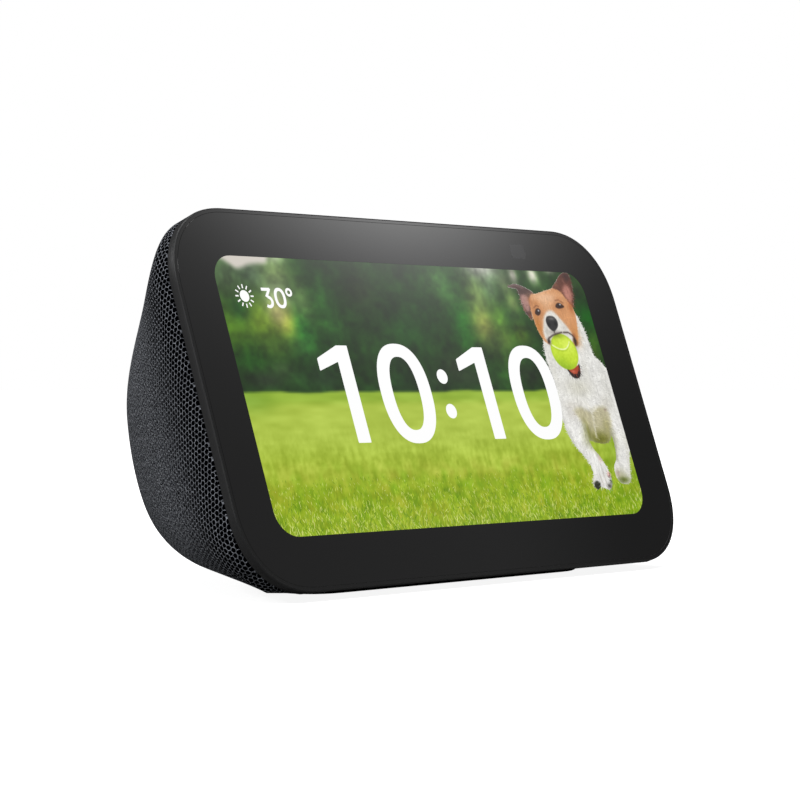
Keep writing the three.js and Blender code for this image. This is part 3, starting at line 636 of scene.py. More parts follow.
def hexagons(shader, cell):
    """How far each point lies from the middle of its hexagon, towards the sides, and that distance in
    a straight line, squared."""
    offsets = []
    for start in (0.0, 0.5):
        split = shader.node("SeparateXYZ", {0: cell})
        x = shader.math("SUBTRACT", shader.math("FRACT", shader.plus(split.outputs[0], start)), 0.5)
        rise = shader.math("DIVIDE", split.outputs[1], ROOT3)
        y = shader.math("SUBTRACT", shader.math("FRACT", shader.plus(rise, start)), 0.5)
        y = shader.times(y, ROOT3)
        offsets.append((shader.math("ABSOLUTE", x), shader.math("ABSOLUTE", y)))
    sides, corners = [], []
    for x, y in offsets:
        slant = shader.math("MULTIPLY_ADD", y, ROOT3 / 2, shader.times(x, 0.5))
        sides.append(shader.math("MAXIMUM", x, slant))
        corners.append(shader.plus(shader.times(x, x), shader.times(y, y)))
    return shader.math("MINIMUM", *sides), shader.math("MINIMUM", *corners)


def knit_finish(unit):
    """Open knit of small hexagonal meshes, light yarn around holes painted near black for the dark shell
    behind them and for painted shade inside the body, that turns into fine grain towards the back. One UV
    unit is `unit` mm."""
    shader = Shader("open_knit")
    uv = shader.node("UVMap").outputs["UV"]
    count = shader.node("Mapping", {"Vector": uv, "Scale": (unit / CELL, unit / CELL, 1)}).outputs[0]
    warp = shader.noise(count, 0.35, 2.0, 0.5, out="Color")
    soft = shader.node("VectorMath", {0: warp, 1: (0.5, 0.5, 0.5)}, operation="SUBTRACT").outputs[0]
    drift = shader.node("VectorMath", {0: soft, "Scale": 0.5}, operation="SCALE").outputs[0]
    cell = shader.node("VectorMath", {0: count, 1: drift}, operation="ADD").outputs[0]
    side, corner = hexagons(shader, cell)
    yarn = shader.spread(side, 0.375, 0.475)
    knot = shader.spread(corner, 0.27, 0.33)
    twist = shader.noise(count, 9.0, 2.0, 0.6)
    fleck = shader.noise(count, 2.3, 3.0, 0.7)
    lit = shader.times(yarn, shader.spread(fleck, 0.4, 0.62, 0.2, 1.0))
    behind = shader.node("VectorMath", {0: shader.place(), 1: (0, COS, -SIN)}, operation="DOT_PRODUCT")
    back = shader.spread(behind.outputs["Value"], FINE_FROM, FINE_TO, 0.0, 0.5)
    grain = shader.spread(shader.noise(count, 3.1, 3.0, 0.7), 0.45, 0.62, 0.0, 0.75)
    lit = shader.node("Mix", {"Factor": back, 2: lit, 3: grain}).outputs[0]
    # holes painted near black: partly the dark shell behind the knit, partly painted shade inside the body
    tint = shader.mix(lit, (0.001, 0.0011, 0.0018, 1), (0.45, 0.48, 0.54, 1))
    speck = shader.times(knot, shader.spread(fleck, 0.5, 0.62))
    spark = shader.spread(shader.noise(count, 2.4, 2.0, 0.6), 0.56, 0.64)
    speck = shader.math("MAXIMUM", speck, shader.times(back, spark))
    bright = shader.mix(speck, tint, (0.85, 0.88, 0.95, 1))
    raised = shader.math("MULTIPLY_ADD", twist, 0.25, yarn)
    inputs = {"Base Color": bright, "Roughness": 0.8,
              "Specular IOR Level": shader.times(yarn, 0.25),
              "Sheen Weight": shader.times(lit, 0.2), "Sheen Roughness": 0.4,
              "Normal": shader.bump(raised, 2.5e-4)}
    return shader.finish(shader.node("BsdfPrincipled", inputs))


def add_sleeve():
    piece = build_sleeve()
    piece.data.materials.append(knit_finish(knit_scale(piece.data)))
    thicken(piece)
    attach(piece, "body")
    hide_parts("fabric_cover")


# ---- flat shapes -------------------------------------------------------------------------------
def ellipse(middle, reach, steps=40):
    turn = circle(steps)
    return np.stack([middle[0] + reach[0] * np.cos(turn), middle[1] + reach[1] * np.sin(turn)], -1)


class Lettering:
    """Flat shapes gathered into one mesh."""

    def __init__(self):
        self.points, self.faces = [], []

    def gather(self, *outlines):
        start = sum(len(part) for part in self.points)
        self.points.extend(np.array(outline, float) for outline in outlines)
        return start

    def fill(self, outline):
        start = self.gather(outline)
        self.faces.append(tuple(range(start, start + len(outline))))

    def ring(self, outer, inner):
        start, count = self.gather(outer, inner), len(outer)
        for i in range(count):
            k = (i + 1) % count
            self.faces.append((start + i, start + k, start + count + k, start + count + i))

    def ribbon(self, line, width):
        line = np.array(line, float)
        ahead = np.gradient(line, axis=0)
        ahead /= np.linalg.norm(ahead, axis=1)[:, None]
        side = np.stack([-ahead[:, 1], ahead[:, 0]], -1) * width / 2
        start, count = self.gather(line + side, line - side), len(line)
        for i in range(count - 1):
            self.faces.append((start + i, start + i + 1, start + count + i + 1, start + count + i))

    def place(self, name, where, body, slot, finish):
        mesh = mesh_from(name, where(np.concatenate(self.points)), self.faces)
        new_piece(name, mesh, body, slot, finish)


# ---- rounded mouldings -------------------------------------------------------------------------
def face_outline(inset, steps=40):
    """The outline of the face, drawn in by an inset."""
    corner = CORNER - inset
    turn = circle(4 * steps) + math.pi / 4 / steps
    across, up = np.cos(turn), np.sin(turn)
    bend = 2 / CORNER_POWER
    x = np.sign(across) * (FACE_WIDTH / 2 - CORNER + corner * abs(across) ** bend)
    z = FACE_HEIGHT / 2 + np.sign(up) * (FACE_HEIGHT / 2 - CORNER + corner * abs(up) ** bend)
    return np.stack([x, z], -1)


SHARP = math.radians(38)


def mesh_of(name, work):
    """Finished mesh: outward faces, smooth apart from sharp turns and the edges of its flat faces."""
    bmesh.ops.recalc_face_normals(work, faces=work.faces)
    for face in work.faces:
        face.smooth = True
    for edge in work.edges:
        if len(edge.link_faces) == 2:
            banded = [len(face.verts) == 4 for face in edge.link_faces]
            edge.smooth = edge.calc_face_angle(0) < SHARP and banded[0] == banded[1]
    mesh = bpy.data.meshes.new(name)
    work.to_mesh(mesh)
    work.free()
    return mesh


def moulding(name, work, body, slot, stands_for):
    """Piece that takes the place of one CAD node."""
    return new_piece(name, mesh_of(name, work), body, slot, instead_of=(stands_for,))


def bridge(work, rings, closed=False):
    """Bands of quads between rings of the same number of points. Returns the rings' corners."""
    corners = [[work.verts.new(point) for point in ring.tolist()] for ring in rings]
    pairs = list(zip(corners[:-1], corners[1:]))
    if closed:
        pairs.append((corners[-1], corners[0]))
    for low, high in pairs:
        for i in range(len(low)):
            work.faces.new((low[i - 1], low[i], high[i], high[i - 1]))
    return corners


def patch(work, *rings):
    """Flat face between a ring and the rings of the holes in it."""
    edges = []
    for ring in rings:
        for i in range(len(ring)):
            pair = (ring[i - 1], ring[i])
            edges.append(work.edges.get(pair) or work.edges.new(pair))
    bmesh.ops.triangle_fill(work, use_beauty=True, use_dissolve=False, edges=edges)


def arc(middle, radius, start, stop, steps):
    """Points on a quarter round, for a section."""
    turn = np.radians(np.linspace(start, stop, steps + 1))
    return [(middle[0] + radius * math.cos(a), middle[1] + radius * math.sin(a)) for a in turn]


# ---- front frame and glass ---------------------------------------------------------------------
WINDOW = (-62.4, 62.0, 11.9, 74.0)   # lit area: left, right, bottom, top
WINDOW_CORNER = 5.8
CAMERA_WINDOW = (40.3, 78.9, 5.3, 3.6, 0.9)      # middle across and up, width, height, corner
WINDOW_FILM = 0.05                   # thickness of the camera window's film
RIM_ROUND = 0.4
GLASS_INSET = 1.05                   # from the edge of the face to the glass
GLASS_FRONT = 0.005                  # how far the glass lies behind the face's front plane
GLASS_ROUND = 0.05
GLASS_BACK = 1.2
RECESS = 0.03                        # depth of the hollow that holds the picture
LIP_BACK = 1.35                      # where the lip round the glass ends
SEAT = 2.1                           # where the ledge behind the glass starts, how far
LEDGE = 3.6                          # in from the edge it reaches, and
LEDGE_BACK = 3.3                     # where it ends
SKIRT = 1.9                          # the skirt is drawn in to pass under the fabric
SKIRT_WALL = 1.6
FRAME_BELLY = 1.6                    # height of the rim's flat underside


def rounded_box(left, right, low, high, radius, steps=10):
    corners = ((right - radius, high - radius, 0), (left + radius, high - radius, 1),
               (left + radius, low + radius, 2), (right - radius, low + radius, 3))
    points = []
    for x, y, quarter in corners:
        for turn in np.linspace(quarter, quarter + 1, steps + 1) * math.pi / 2:
            points.append((x + radius * math.cos(turn), y + radius * math.sin(turn)))
    return np.array(points)


def window_finish():
    """Smoky glass, a little lighter than the print around it."""
    shader = Shader("camera_window")
    soft = shader.noise(shader.place(), 700.0)
    tint = shader.mix(soft, (0.04, 0.04, 0.042, 1), (0.05, 0.05, 0.052, 1))
    film = shader.node("BsdfPrincipled", {"Base Color": tint, "Roughness": 0.04, "IOR": GLASS_IOR})
    clear = shader.node("BsdfTransparent", {"Color": (0.7, 0.7, 0.73, 1)})
    return shader.finish(shader.node("MixShader", {0: 0.92, 1: clear.outputs[0], 2: film.outputs[0]}))


def frame_ring(inset, depth, lowest):
    """Ring of the frame, lifted where it would come below a height."""
    ring = on_face(*face_outline(inset).T, depth)
    short = np.maximum(lowest * MM - ring[:, 2], 0)
    ring[:, 1] += short * SIN / COS
    ring[:, 2] += short
    return ring


def add_frame():
    skirt_low = FOOT_HEIGHT + SKIRT
    hollow_low = skirt_low + SKIRT_WALL
    nose = [(GLASS_INSET - 0.01, LIP_BACK), (GLASS_INSET - 0.01, GLASS_FRONT + 0.03),
            (GLASS_INSET - 0.04, GLASS_FRONT), (GLASS_INSET - 0.07, GLASS_FRONT),
            (RIM_ROUND + 0.03, GLASS_FRONT)]
    shoulder = arc((RIM_ROUND, RIM_ROUND + GLASS_FRONT), RIM_ROUND, 270, 180, 8)
    tail = [(0, RIM_DEPTH - 0.25), (0.07, RIM_DEPTH - 0.08), (0.25, RIM_DEPTH)]
    section = [(*point, FRAME_BELLY) for point in nose + shoulder + tail]
    section += [(SKIRT, RIM_DEPTH, FRAME_BELLY), (SKIRT, RIM_DEPTH + 0.01, skirt_low),
                (SKIRT, FRAME_DEPTH, skirt_low), (SKIRT + SKIRT_WALL, FRAME_DEPTH, hollow_low),
                (SKIRT + SKIRT_WALL, LEDGE_BACK, hollow_low), (LEDGE, LEDGE_BACK, hollow_low),
                (LEDGE, SEAT, FRAME_BELLY), (2, SEAT, FRAME_BELLY), (2, LIP_BACK, FRAME_BELLY)]
    work = bmesh.new()
    rings = bridge(work, [frame_ring(*spot) for spot in section], closed=True)
    lip = {vert for ring in rings[2:len(nose) + 1] for vert in ring}
    for face in work.faces:
        face.material_index = int(lip.issuperset(face.verts))
    piece = moulding("frame_moulding", work, "body", "frame_plastic", "front_frame")
    piece.data.materials.append(FINISHES["cover_glass"])


def box_line(left, right, low, high, radius, depth):
    return on_face(*rounded_box(left, right, low, high, radius).T, depth)


def add_glass():
    """Pane with a rounded edge, an opening for the camera and a shallow recess for the picture."""
    edge = arc((GLASS_INSET + GLASS_ROUND, GLASS_FRONT + GLASS_ROUND), GLASS_ROUND, 180, 270, 4)
    work = bmesh.new()
    section = [(GLASS_INSET, GLASS_BACK), *edge]
    outer = bridge(work, [on_face(*face_outline(inset).T, depth) for inset, depth in section])
    u, v, width, height, corner = CAMERA_WINDOW
    eye = (u - width / 2, u + width / 2, v - height / 2, v + height / 2, corner)
    hole = bridge(work, [box_line(*eye, depth) for depth in (GLASS_BACK, GLASS_FRONT)])
    recess = bridge(work, [box_line(*WINDOW, WINDOW_CORNER, depth) for depth in (RECESS, GLASS_FRONT)])
    work.faces.new(recess[0])
    patch(work, outer[0], hole[0])
    patch(work, outer[-1], hole[-1], recess[-1])
    moulding("cover_pane", work, "body", "cover_glass", "cover_glass")
    work = bmesh.new()
    rings = bridge(work, [box_line(*eye, depth) for depth in (GLASS_FRONT, GLASS_FRONT + WINDOW_FILM)])
    for ring in rings:
        work.faces.new(ring)
    new_piece("camera_window", mesh_of("camera_window", work), "body", "camera_glass",
              window_finish())


# ---- top controls ------------------------------------------------------------------------------
STRIP_TOP = 84.7                     # heights here are up the slope of the face
STRIP_UNDER = 83.2                   # the strip's hollow underside, and
STRIP_WALL = 1.2                     # the wall around it
BUTTON = (12.4, 5.0)
BUTTON_PITCH = 18
BUTTON_TOP = 85.1
BUTTON_HOLE = 0.3                    # clearance round a button
MARK_HEIGHT = BUTTON_TOP + 0.012
SHUTTER_OPEN = 46.3                  # middle of the knob when the camera is uncovered
SHUTTER_TRAVEL = 6
SHUTTER_TOP = 84.2
SHUTTER_UNDER = 82.2
KNOB = (9.0, 3.2)


def standing_ring(slot, inset, up):
    outline = stadium(slot[0] - 2 * inset, slot[1] - 2 * inset, slot[2], slot[3])
    return on_face(outline[:, 0], up, outline[:, 1])


def standing_solid(work, slot, levels, holes=(), hole_levels=()):
    """Solid on the slope of the face, through rings given as inset and height, with holes through it."""
    outer = bridge(work, [standing_ring(slot, *level) for level in levels])
    inner = [bridge(work, [standing_ring(hole, *level) for level in hole_levels]) for hole in holes]
    patch(work, outer[-1], *[rings[0] for rings in inner])
    patch(work, outer[0], *[rings[-1] for rings in inner])


def rounded_top(top, low, radius=0.3, crown=0.0):
    """Levels of a side wall that turns over into a top."""
    levels = [(0, low)]
    levels += [(radius - x, y) for x, y in arc((0, top - crown - radius), radius, 0, 90, 5)]
    if crown:
        levels += [(radius + 0.5, top - crown * 0.45), (radius + 1.1, top - crown * 0.1),
                   (radius + 1.6, top)]
    return levels


def add_control_strip():
    work = bmesh.new()
    holes = [(BUTTON[0] + 2 * BUTTON_HOLE, BUTTON[1] + 2 * BUTTON_HOLE, i * BUTTON_PITCH, STRIP[3])
             for i in (-1, 0, 1)]
    holes += [(1.0, 0.998, i * BUTTON_PITCH / 2, STRIP[3]) for i in (-1, 1)]
    levels = [(STRIP_WALL, STRIP_UNDER), (STRIP_WALL, 81), (0, 81), *rounded_top(STRIP_TOP, 81.5)]
    hole_levels = [(-0.12, STRIP_TOP), (-0.04, STRIP_TOP - 0.04), (0, STRIP_TOP - 0.12),
                   (0, STRIP_UNDER)]
    standing_solid(work, STRIP, levels, holes, hole_levels)
    moulding("button_strip", work, "body", "frame_plastic", "control_strip")


def mark_minus(sign):
    sign.ribbon([(-0.85, 0), (0.85, 0)], 0.3)


def mark_plus(sign):
    mark_minus(sign)
    sign.ribbon([(0, 0.15), (0, 0.85)], 0.3)
    sign.ribbon([(0, -0.15), (0, -0.85)], 0.3)


def mark_mute(sign):
    """Plain ring, crossed out."""
    sign.ring(ellipse((0, 0), (1.15, 1.15)), ellipse((0, 0), (0.9, 0.9)))
    sign.ribbon([(-0.62, -0.62), (0.62, 0.62)], 0.24)


BUTTONS = (("mute", -1, mark_mute), ("volume_down", 0, mark_minus), ("volume_up", 1, mark_plus))


def add_buttons():
    """Keys with a flange that the strip holds down, each with its printed mark."""
    ink = grained("mark_print_look", (0.42, 0.42, 0.43, 1), (0.5, 0.5, 0.51, 1), (0.5, 0.6), 4000.0, 2e-6)
    for name, place, mark in BUTTONS:
        x = place * BUTTON_PITCH
        levels = [(-0.5, 81.75), (-0.5, 82.75), (0, 82.8), *rounded_top(BUTTON_TOP, 83, 0.28, 0.06)]
        work = bmesh.new()
        standing_solid(work, (*BUTTON, x, STRIP[3]), levels)
        moulding(name + "_cap", work, name + "_key", "button_plastic", name + "_button")
        sign = Lettering()
        mark(sign)
        sign.place(name + "_mark", lambda flat: on_face(x + flat[:, 0], MARK_HEIGHT, STRIP[3] + flat[:, 1]),
                   name + "_key", "button_plastic", ink)


def add_shutter():
    """Slotted track, and a knob with a stem in the slot and three ridges on top."""
    work = bmesh.new()
    slot_hole = (SHUTTER_TRAVEL + 3.2, 1.998, SHUTTER_PLATE[2], SHUTTER_PLATE[3])
    levels = [(0, SHUTTER_UNDER), *rounded_top(SHUTTER_TOP, 82.6, 0.25)]
    hole_levels = [(-0.12, SHUTTER_TOP), (-0.03, 84.15), (0, 84.05), (0, SHUTTER_UNDER)]
    standing_solid(work, SHUTTER_PLATE, levels, [slot_hole], hole_levels)
    moulding("shutter_track", work, "body", "frame_plastic", "shutter_plate")
    work = bmesh.new()
    cap = (*KNOB, SHUTTER_OPEN, SHUTTER_PLATE[3])
    standing_solid(work, cap, [(0.12, 84.5), *rounded_top(85.6, 84.62, 0.3)])
    standing_solid(work, (2.4, 0.898, SHUTTER_OPEN, 9.05), [(0, 79.6), (0, 84.55)])
    for shift in (-2, 0, 2):
        rings = []
        for inset, up in ((0, 85.5), (0, 85.85), (0.07, 85.97), (0.16, 86)):
            line = stadium(2.6 - 2 * inset, 0.499 - 2 * inset, 0, 0)
            rings.append(on_face(SHUTTER_OPEN + shift + line[:, 1], up, SHUTTER_PLATE[3] + line[:, 0]))
        corners = bridge(work, rings)
        patch(work, corners[0])
        patch(work, corners[-1])
    moulding("shutter_slider", work, "shutter", "button_plastic", "shutter_knob")


# ---- power inlet -------------------------------------------------------------------------------
def back_surface(x, z):
    """Y of the body's curved back."""
    samples = np.concatenate([bezier(handles, np.linspace(0, 1, 200)[:, None]) for handles in PROFILE])
    deep = np.interp(-z, -samples[:, 1], samples[:, 0])
    up = skirt_up(z)
    front = skirt_y(up)
    return front + (deep - front) * (1 - (x / half_width(up)) ** 2) ** (1 / SIDE_POWER)


def add_port():
    """Cup round the power inlet, its rim flush with the knit."""
    turn = circle(64)

    def ring(radius, y=None, proud=0.0):
        x, z = radius * np.cos(turn), JACK_Z + radius * np.sin(turn)
        y = back_surface(x, z) + proud if y is None else np.full_like(x, y)
        return np.stack([x, y, z], -1) * MM

    outer, bore, hole = 6.5, 5.3, 3.4  # radii of the cup, its recess and the hole for the plug
    rings = [ring(hole, 21.6), ring(outer, 21.6)]
    rings += [ring(radius, proud=-sunk) for radius, sunk in (
        (outer, 0.4), (outer - 0.1, 0.15), (outer - 0.35, 0.04), (bore + 0.35, 0.04), (bore + 0.1, 0.2),
        (bore, 0.5))]
    rings += [ring(radius, y) for radius, y in (
        (bore, 22.7), (bore - 0.1, 22.5), (bore - 0.3, 22.4), (hole + 0.1, 22.4), (hole, 22.3))]
    work = bmesh.new()
    bridge(work, rings, closed=True)
    moulding("port_cup", work, "body", "frame_plastic", "port_bezel")


# ---- lit picture: painting tools ---------------------------------------------------------------
CANVAS = (-61.3, 63.7, 12.2, 74.5)   # picture's own measures: left, right, bottom, top
SCENERY_DEPTH = 0.026                # layers of the picture, in the recess of the glass
GRASS_DEPTH = 0.023
DOG_DEPTH = 0.018
FUR_DEPTH = 0.015
CLOCK_DEPTH = 0.009
LAYER = 0.0025                       # strokes of one layer lie within this depth
PICTURE_SHIFT = (-1.45, -0.27)       # sets the picture's own measures in the middle of the face
PICTURE_SCALE = 0.9964


def in_picture(across, up, deep):
    across = np.asarray(across) * PICTURE_SCALE + PICTURE_SHIFT[0]
    up = np.asarray(up) * PICTURE_SCALE + PICTURE_SHIFT[1]
    return on_face(across, up, deep)


def rounded_loop(points, steps=6):
    """Closed smooth curve through a few points."""
    knots = np.array(points, float)
    before, after, beyond = np.roll(knots, 1, 0), np.roll(knots, -1, 0), np.roll(knots, -2, 0)
    loop = []
    for t in np.arange(steps) / steps:
        loop.append(0.5 * (2 * knots + (after - before) * t
                           + (2 * before - 5 * knots + 4 * after - beyond) * t * t
                           + (3 * knots - before - 3 * after + beyond) * t ** 3))
    return np.stack(loop, 1).reshape(-1, 2)


def line_distance(line, u, v):
    """Distance from each point to the nearest stretch of a line."""
    nearest = np.full(len(u), 1e9)
    for (au, av), (bu, bv) in zip(line[:-1], line[1:]):
        du, dv = bu - au, bv - av
        along = np.clip(((u - au) * du + (v - av) * dv) / max(du * du + dv * dv, 1e-12), 0, 1)
        nearest = np.minimum(nearest, np.hypot(u - au - along * du, v - av - along * dv))
    return nearest


def depth_inside(loop, u, v):
    """Distance in from a closed line, negative outside it."""
    loop = np.array(loop, float)
    reach = 3.0  # no farther than this is measured
    near = ((u > loop[:, 0].min() - reach) & (u < loop[:, 0].max() + reach)
            & (v > loop[:, 1].min() - reach) & (v < loop[:, 1].max() + reach))
    found = np.full(len(u), -reach)
    x, y = u[near], v[near]
    within = np.zeros(len(x), bool)
    for (au, av), (bu, bv) in zip(loop, np.roll(loop, -1, 0)):
        if av != bv:
            crosses = (av > y) != (bv > y)
            within ^= crosses & (x < (bu - au) * (y - av) / (bv - av) + au)
    far = line_distance(np.concatenate([loop, loop[:1]]), x, y)
    found[near] = np.where(within, far, -far)
    return found


def ease(value):
    value = np.clip(value, 0, 1)
    return value * value * (3 - 2 * value)


def wander(u, v, cell, seed, layers=2):
    """Smooth random field, about -1 to 1, in patches of the given width and height."""
    total = np.zeros(len(u))
    for layer in range(layers):
        grid = np.random.default_rng(seed + layer).uniform(-1, 1, (97, 97))
        x, y = u * 2 ** layer / cell[0] + 31.7, v * 2 ** layer / cell[1] + 17.3
        i, j = np.floor(x).astype(int), np.floor(y).astype(int)
        s, t = ease(x - i), ease(y - j)
        i, j = i % 96, j % 96
        low = grid[i, j] * (1 - s) + grid[i + 1, j] * s
        high = grid[i, j + 1] * (1 - s) + grid[i + 1, j + 1] * s
        total += (low * (1 - t) + high * t) / 1.6 ** layer
    return total


class Canvas:
    """Points of a picture, painted over in soft-edged layers. Colours are as on screen, 0 to 255."""

    def __init__(self, u, v, ground):
        self.u, self.v = u, v
        self.ink = np.tile(np.array(ground, float), (len(u), 1))

    def lay(self, cover, colour):
        self.ink += (np.array(colour, float) - self.ink) * np.clip(cover, 0, 1)[:, None]

    def shape(self, points, colour, soft, strength=1.0):
        depth = depth_inside(rounded_loop(points), self.u, self.v)
        self.lay(ease(depth / (2 * soft) + 0.5) * strength, colour)

    def glow(self, middle, reach, colour, strength):
        away = ((self.u - middle[0]) / reach[0]) ** 2 + ((self.v - middle[1]) / reach[1]) ** 2
        self.lay(np.exp(-away) * strength, colour)

    def stroke(self, points, width, colour, soft, strength):
        away = line_distance(np.array(points, float), self.u, self.v)
        self.lay(ease((width / 2 - away) / (2 * soft) + 0.5) * strength, colour)

    def shift(self, amount):
        self.ink += np.asarray(amount, float)[:, None]

    def vary(self, share):
        self.ink *= 1 + np.asarray(share, float)[:, None]


def linear(ink):
    steps = np.clip(ink, 0, 255) / 255
    return np.where(steps <= 0.04045, steps / 12.92, ((steps + 0.055) / 1.055) ** 2.4)


def lit_finish(name, colour=None):
    """Light from the display itself, in the piece's own painted colours or in one colour, under gloss."""
    shader = Shader(name)
    ink = colour or shader.node("Attribute", attribute_name="ink").outputs["Color"]
    inputs = {"Base Color": (0, 0, 0, 1), "Roughness": smears(shader), "IOR": GLASS_IOR,
              "Emission Color": ink, "Emission Strength": 1.0}
    return shader.finish(shader.node("BsdfPrincipled", inputs))


def lit_piece(name, points, faces, finish, ink):
    mesh = mesh_from(name, points, faces)
    colours = mesh.color_attributes.new("ink", "FLOAT_COLOR", "POINT")
    solid = np.column_stack([linear(ink), np.ones(len(ink))])
    colours.data.foreach_set("color", solid.astype(np.float32).ravel())
    new_piece(name, mesh, "body", "screen", finish)


def grid_points(left, right, low, high, step):
    across = np.linspace(left, right, round((right - left) / step) + 1)
    up = np.linspace(low, high, round((high - low) / step) + 1)
    u, v = (axis.ravel() for axis in np.meshgrid(across, up))
    count = len(across)
    corners = np.arange(len(u)).reshape(len(up), count)
    quads = np.stack([corners[:-1, :-1], corners[:-1, 1:], corners[1:, 1:], corners[1:, :-1]], -1)
    return u, v, quads.reshape(-1, 4)


def add_strokes(name, roots, angles, lengths, widths, inks, depth, finish):
    """Many fine tapered strokes, each a leaf of three points lying in the picture."""
    count = len(roots)
    tips = roots + np.stack([np.cos(angles), np.sin(angles)], -1) * lengths[:, None]
    side = np.stack([-np.sin(angles), np.cos(angles)], -1) * widths[:, None] / 2
    middle = roots * 0.55 + tips * 0.45
    flat = np.stack([roots - side * 0.6, middle - side, tips, middle + side, roots + side * 0.6], 1)
    deep = np.repeat(depth - LAYER * np.arange(count) / count, 5)
    points = in_picture(flat[..., 0].ravel(), flat[..., 1].ravel(), deep)
    faces = (np.arange(count)[:, None] * 5 + np.arange(5)).tolist()
    lit_piece(name, points, faces, finish, np.repeat(inks, 5, 0))


# ---- lit picture: trees and lawn ---------------------------------------------------------------
LAWN_EDGE = 43.8

# middle, reach, colour and strength of each soft patch among the trees
FOLIAGE = (
    ((-12, 60), (30, 30), (24, 52, 15), 0.96), ((-58, 70), (7, 6), (82, 106, 70), 0.85),
    ((-50, 70), (4, 3), (84, 108, 84), 0.7), ((-43, 71), (4.5, 5), (122, 146, 84), 0.85),
    ((-60, 58), (5, 6), (72, 110, 20), 0.9), ((-51, 60), (5.5, 5.5), (104, 132, 30), 0.9),
    ((-44, 65), (4.5, 4.5), (158, 174, 134), 0.85), ((-43, 59.5), (4, 4), (150, 158, 50), 0.85),
    ((-38.5, 58), (2.8, 5), (36, 126, 34), 0.85), ((-37, 65), (3, 5), (84, 110, 60), 0.7),
    ((-56.5, 62.6), (2.8, 2.6), (22, 66, 20), 0.85), ((-40, 54), (4, 3), (46, 100, 40), 0.7),
    ((-49, 54), (5, 2.5), (66, 96, 32), 0.7), ((-30, 62), (4, 7), (40, 96, 28), 0.7),
    ((-32, 54), (5, 4), (34, 82, 26), 0.6), ((-57, 50.5), (5, 3.5), (30, 80, 18), 0.85),
    ((-48, 49), (4, 2), (46, 62, 36), 0.6), ((-43, 46.5), (3, 2), (50, 104, 40), 0.7),
    ((-54, 46.5), (7, 2.4), (32, 42, 28), 0.85), ((-36, 47), (5, 3), (34, 56, 34), 0.7),
    ((-18, 68), (5, 5), (32, 38, 20), 0.6), ((-6, 58), (6, 6), (22, 66, 18), 0.6),
    ((-10, 50), (8, 4), (18, 40, 14), 0.6), ((-14, 46), (6, 2), (26, 64, 22), 0.6),
    ((2, 62), (4, 5), (26, 66, 20), 0.6), ((10, 71), (5, 4), (66, 108, 52), 0.7),
    ((14.5, 61), (3.5, 8), (30, 106, 20), 0.8), ((13, 67), (4, 3), (48, 80, 36), 0.6),
    ((22.5, 68), (4.5, 5), (112, 136, 74), 0.85), ((22, 59.8), (4.2, 4.8), (156, 166, 76), 0.92),
    ((27.5, 69), (3, 4), (80, 106, 72), 0.8), ((28, 62), (3, 4), (84, 126, 38), 0.8),
    ((28, 56.5), (3.5, 3), (84, 112, 38), 0.8), ((33.5, 71), (3, 3), (92, 104, 72), 0.7),
    ((34.5, 66), (2.5, 3), (114, 136, 74), 0.85), ((33.5, 62), (2.8, 2.2), (46, 82, 34), 0.8),
    ((34.5, 57.5), (3, 3), (92, 130, 24), 0.85), ((24, 55.5), (4, 2.5), (66, 92, 40), 0.7),
    ((28, 51), (4, 2.5), (60, 96, 30), 0.7), ((36, 52), (4, 3), (40, 84, 30), 0.7),
    ((34, 47.5), (5, 3), (32, 44, 26), 0.85), ((26, 46.5), (4, 2), (48, 98, 30), 0.7),
    ((12, 47), (8, 2.5), (36, 50, 30), 0.7), ((7, 50), (4, 3), (34, 40, 28), 0.6),
    ((0, 46), (4, 2), (40, 60, 34), 0.6), ((61, 71), (3.5, 3.5), (34, 58, 20), 0.85),
    ((62, 63), (3.4, 4.5), (4, 74, 2), 0.9), ((62, 57), (3, 3), (50, 86, 16), 0.8),
    ((60, 53), (3, 2.5), (60, 80, 12), 0.7), ((46, 72), (3, 3), (58, 96, 40), 0.7),
    ((-51, 74.6), (5.5, 2.6), (170, 176, 160), 0.7), ((-42, 75), (3, 1.6), (176, 184, 160), 0.6),
    ((-45.2, 61.6), (2.6, 2.8), (168, 160, 104), 0.8),
    ((26, 75.3), (6.5, 3.2), (222, 224, 212), 1.0), ((37.4, 73.2), (1.5, 2.3), (196, 194, 178), 0.95),
    ((44.8, 73.4), (1.9, 2.1), (204, 202, 186), 1.0), ((52, 75), (2.4, 1.2), (168, 166, 154), 0.75),
)


# pale gap between the trees
FAR_SKY = ((-60.5, 74.6), (-58, 76.4), (-52, 77), (-44.6, 76.5), (-45, 73.4), (-48, 73), (-50.4, 72.7),
           (-52.4, 72), (-54.3, 71.7), (-56, 72.6), (-58, 73.7))


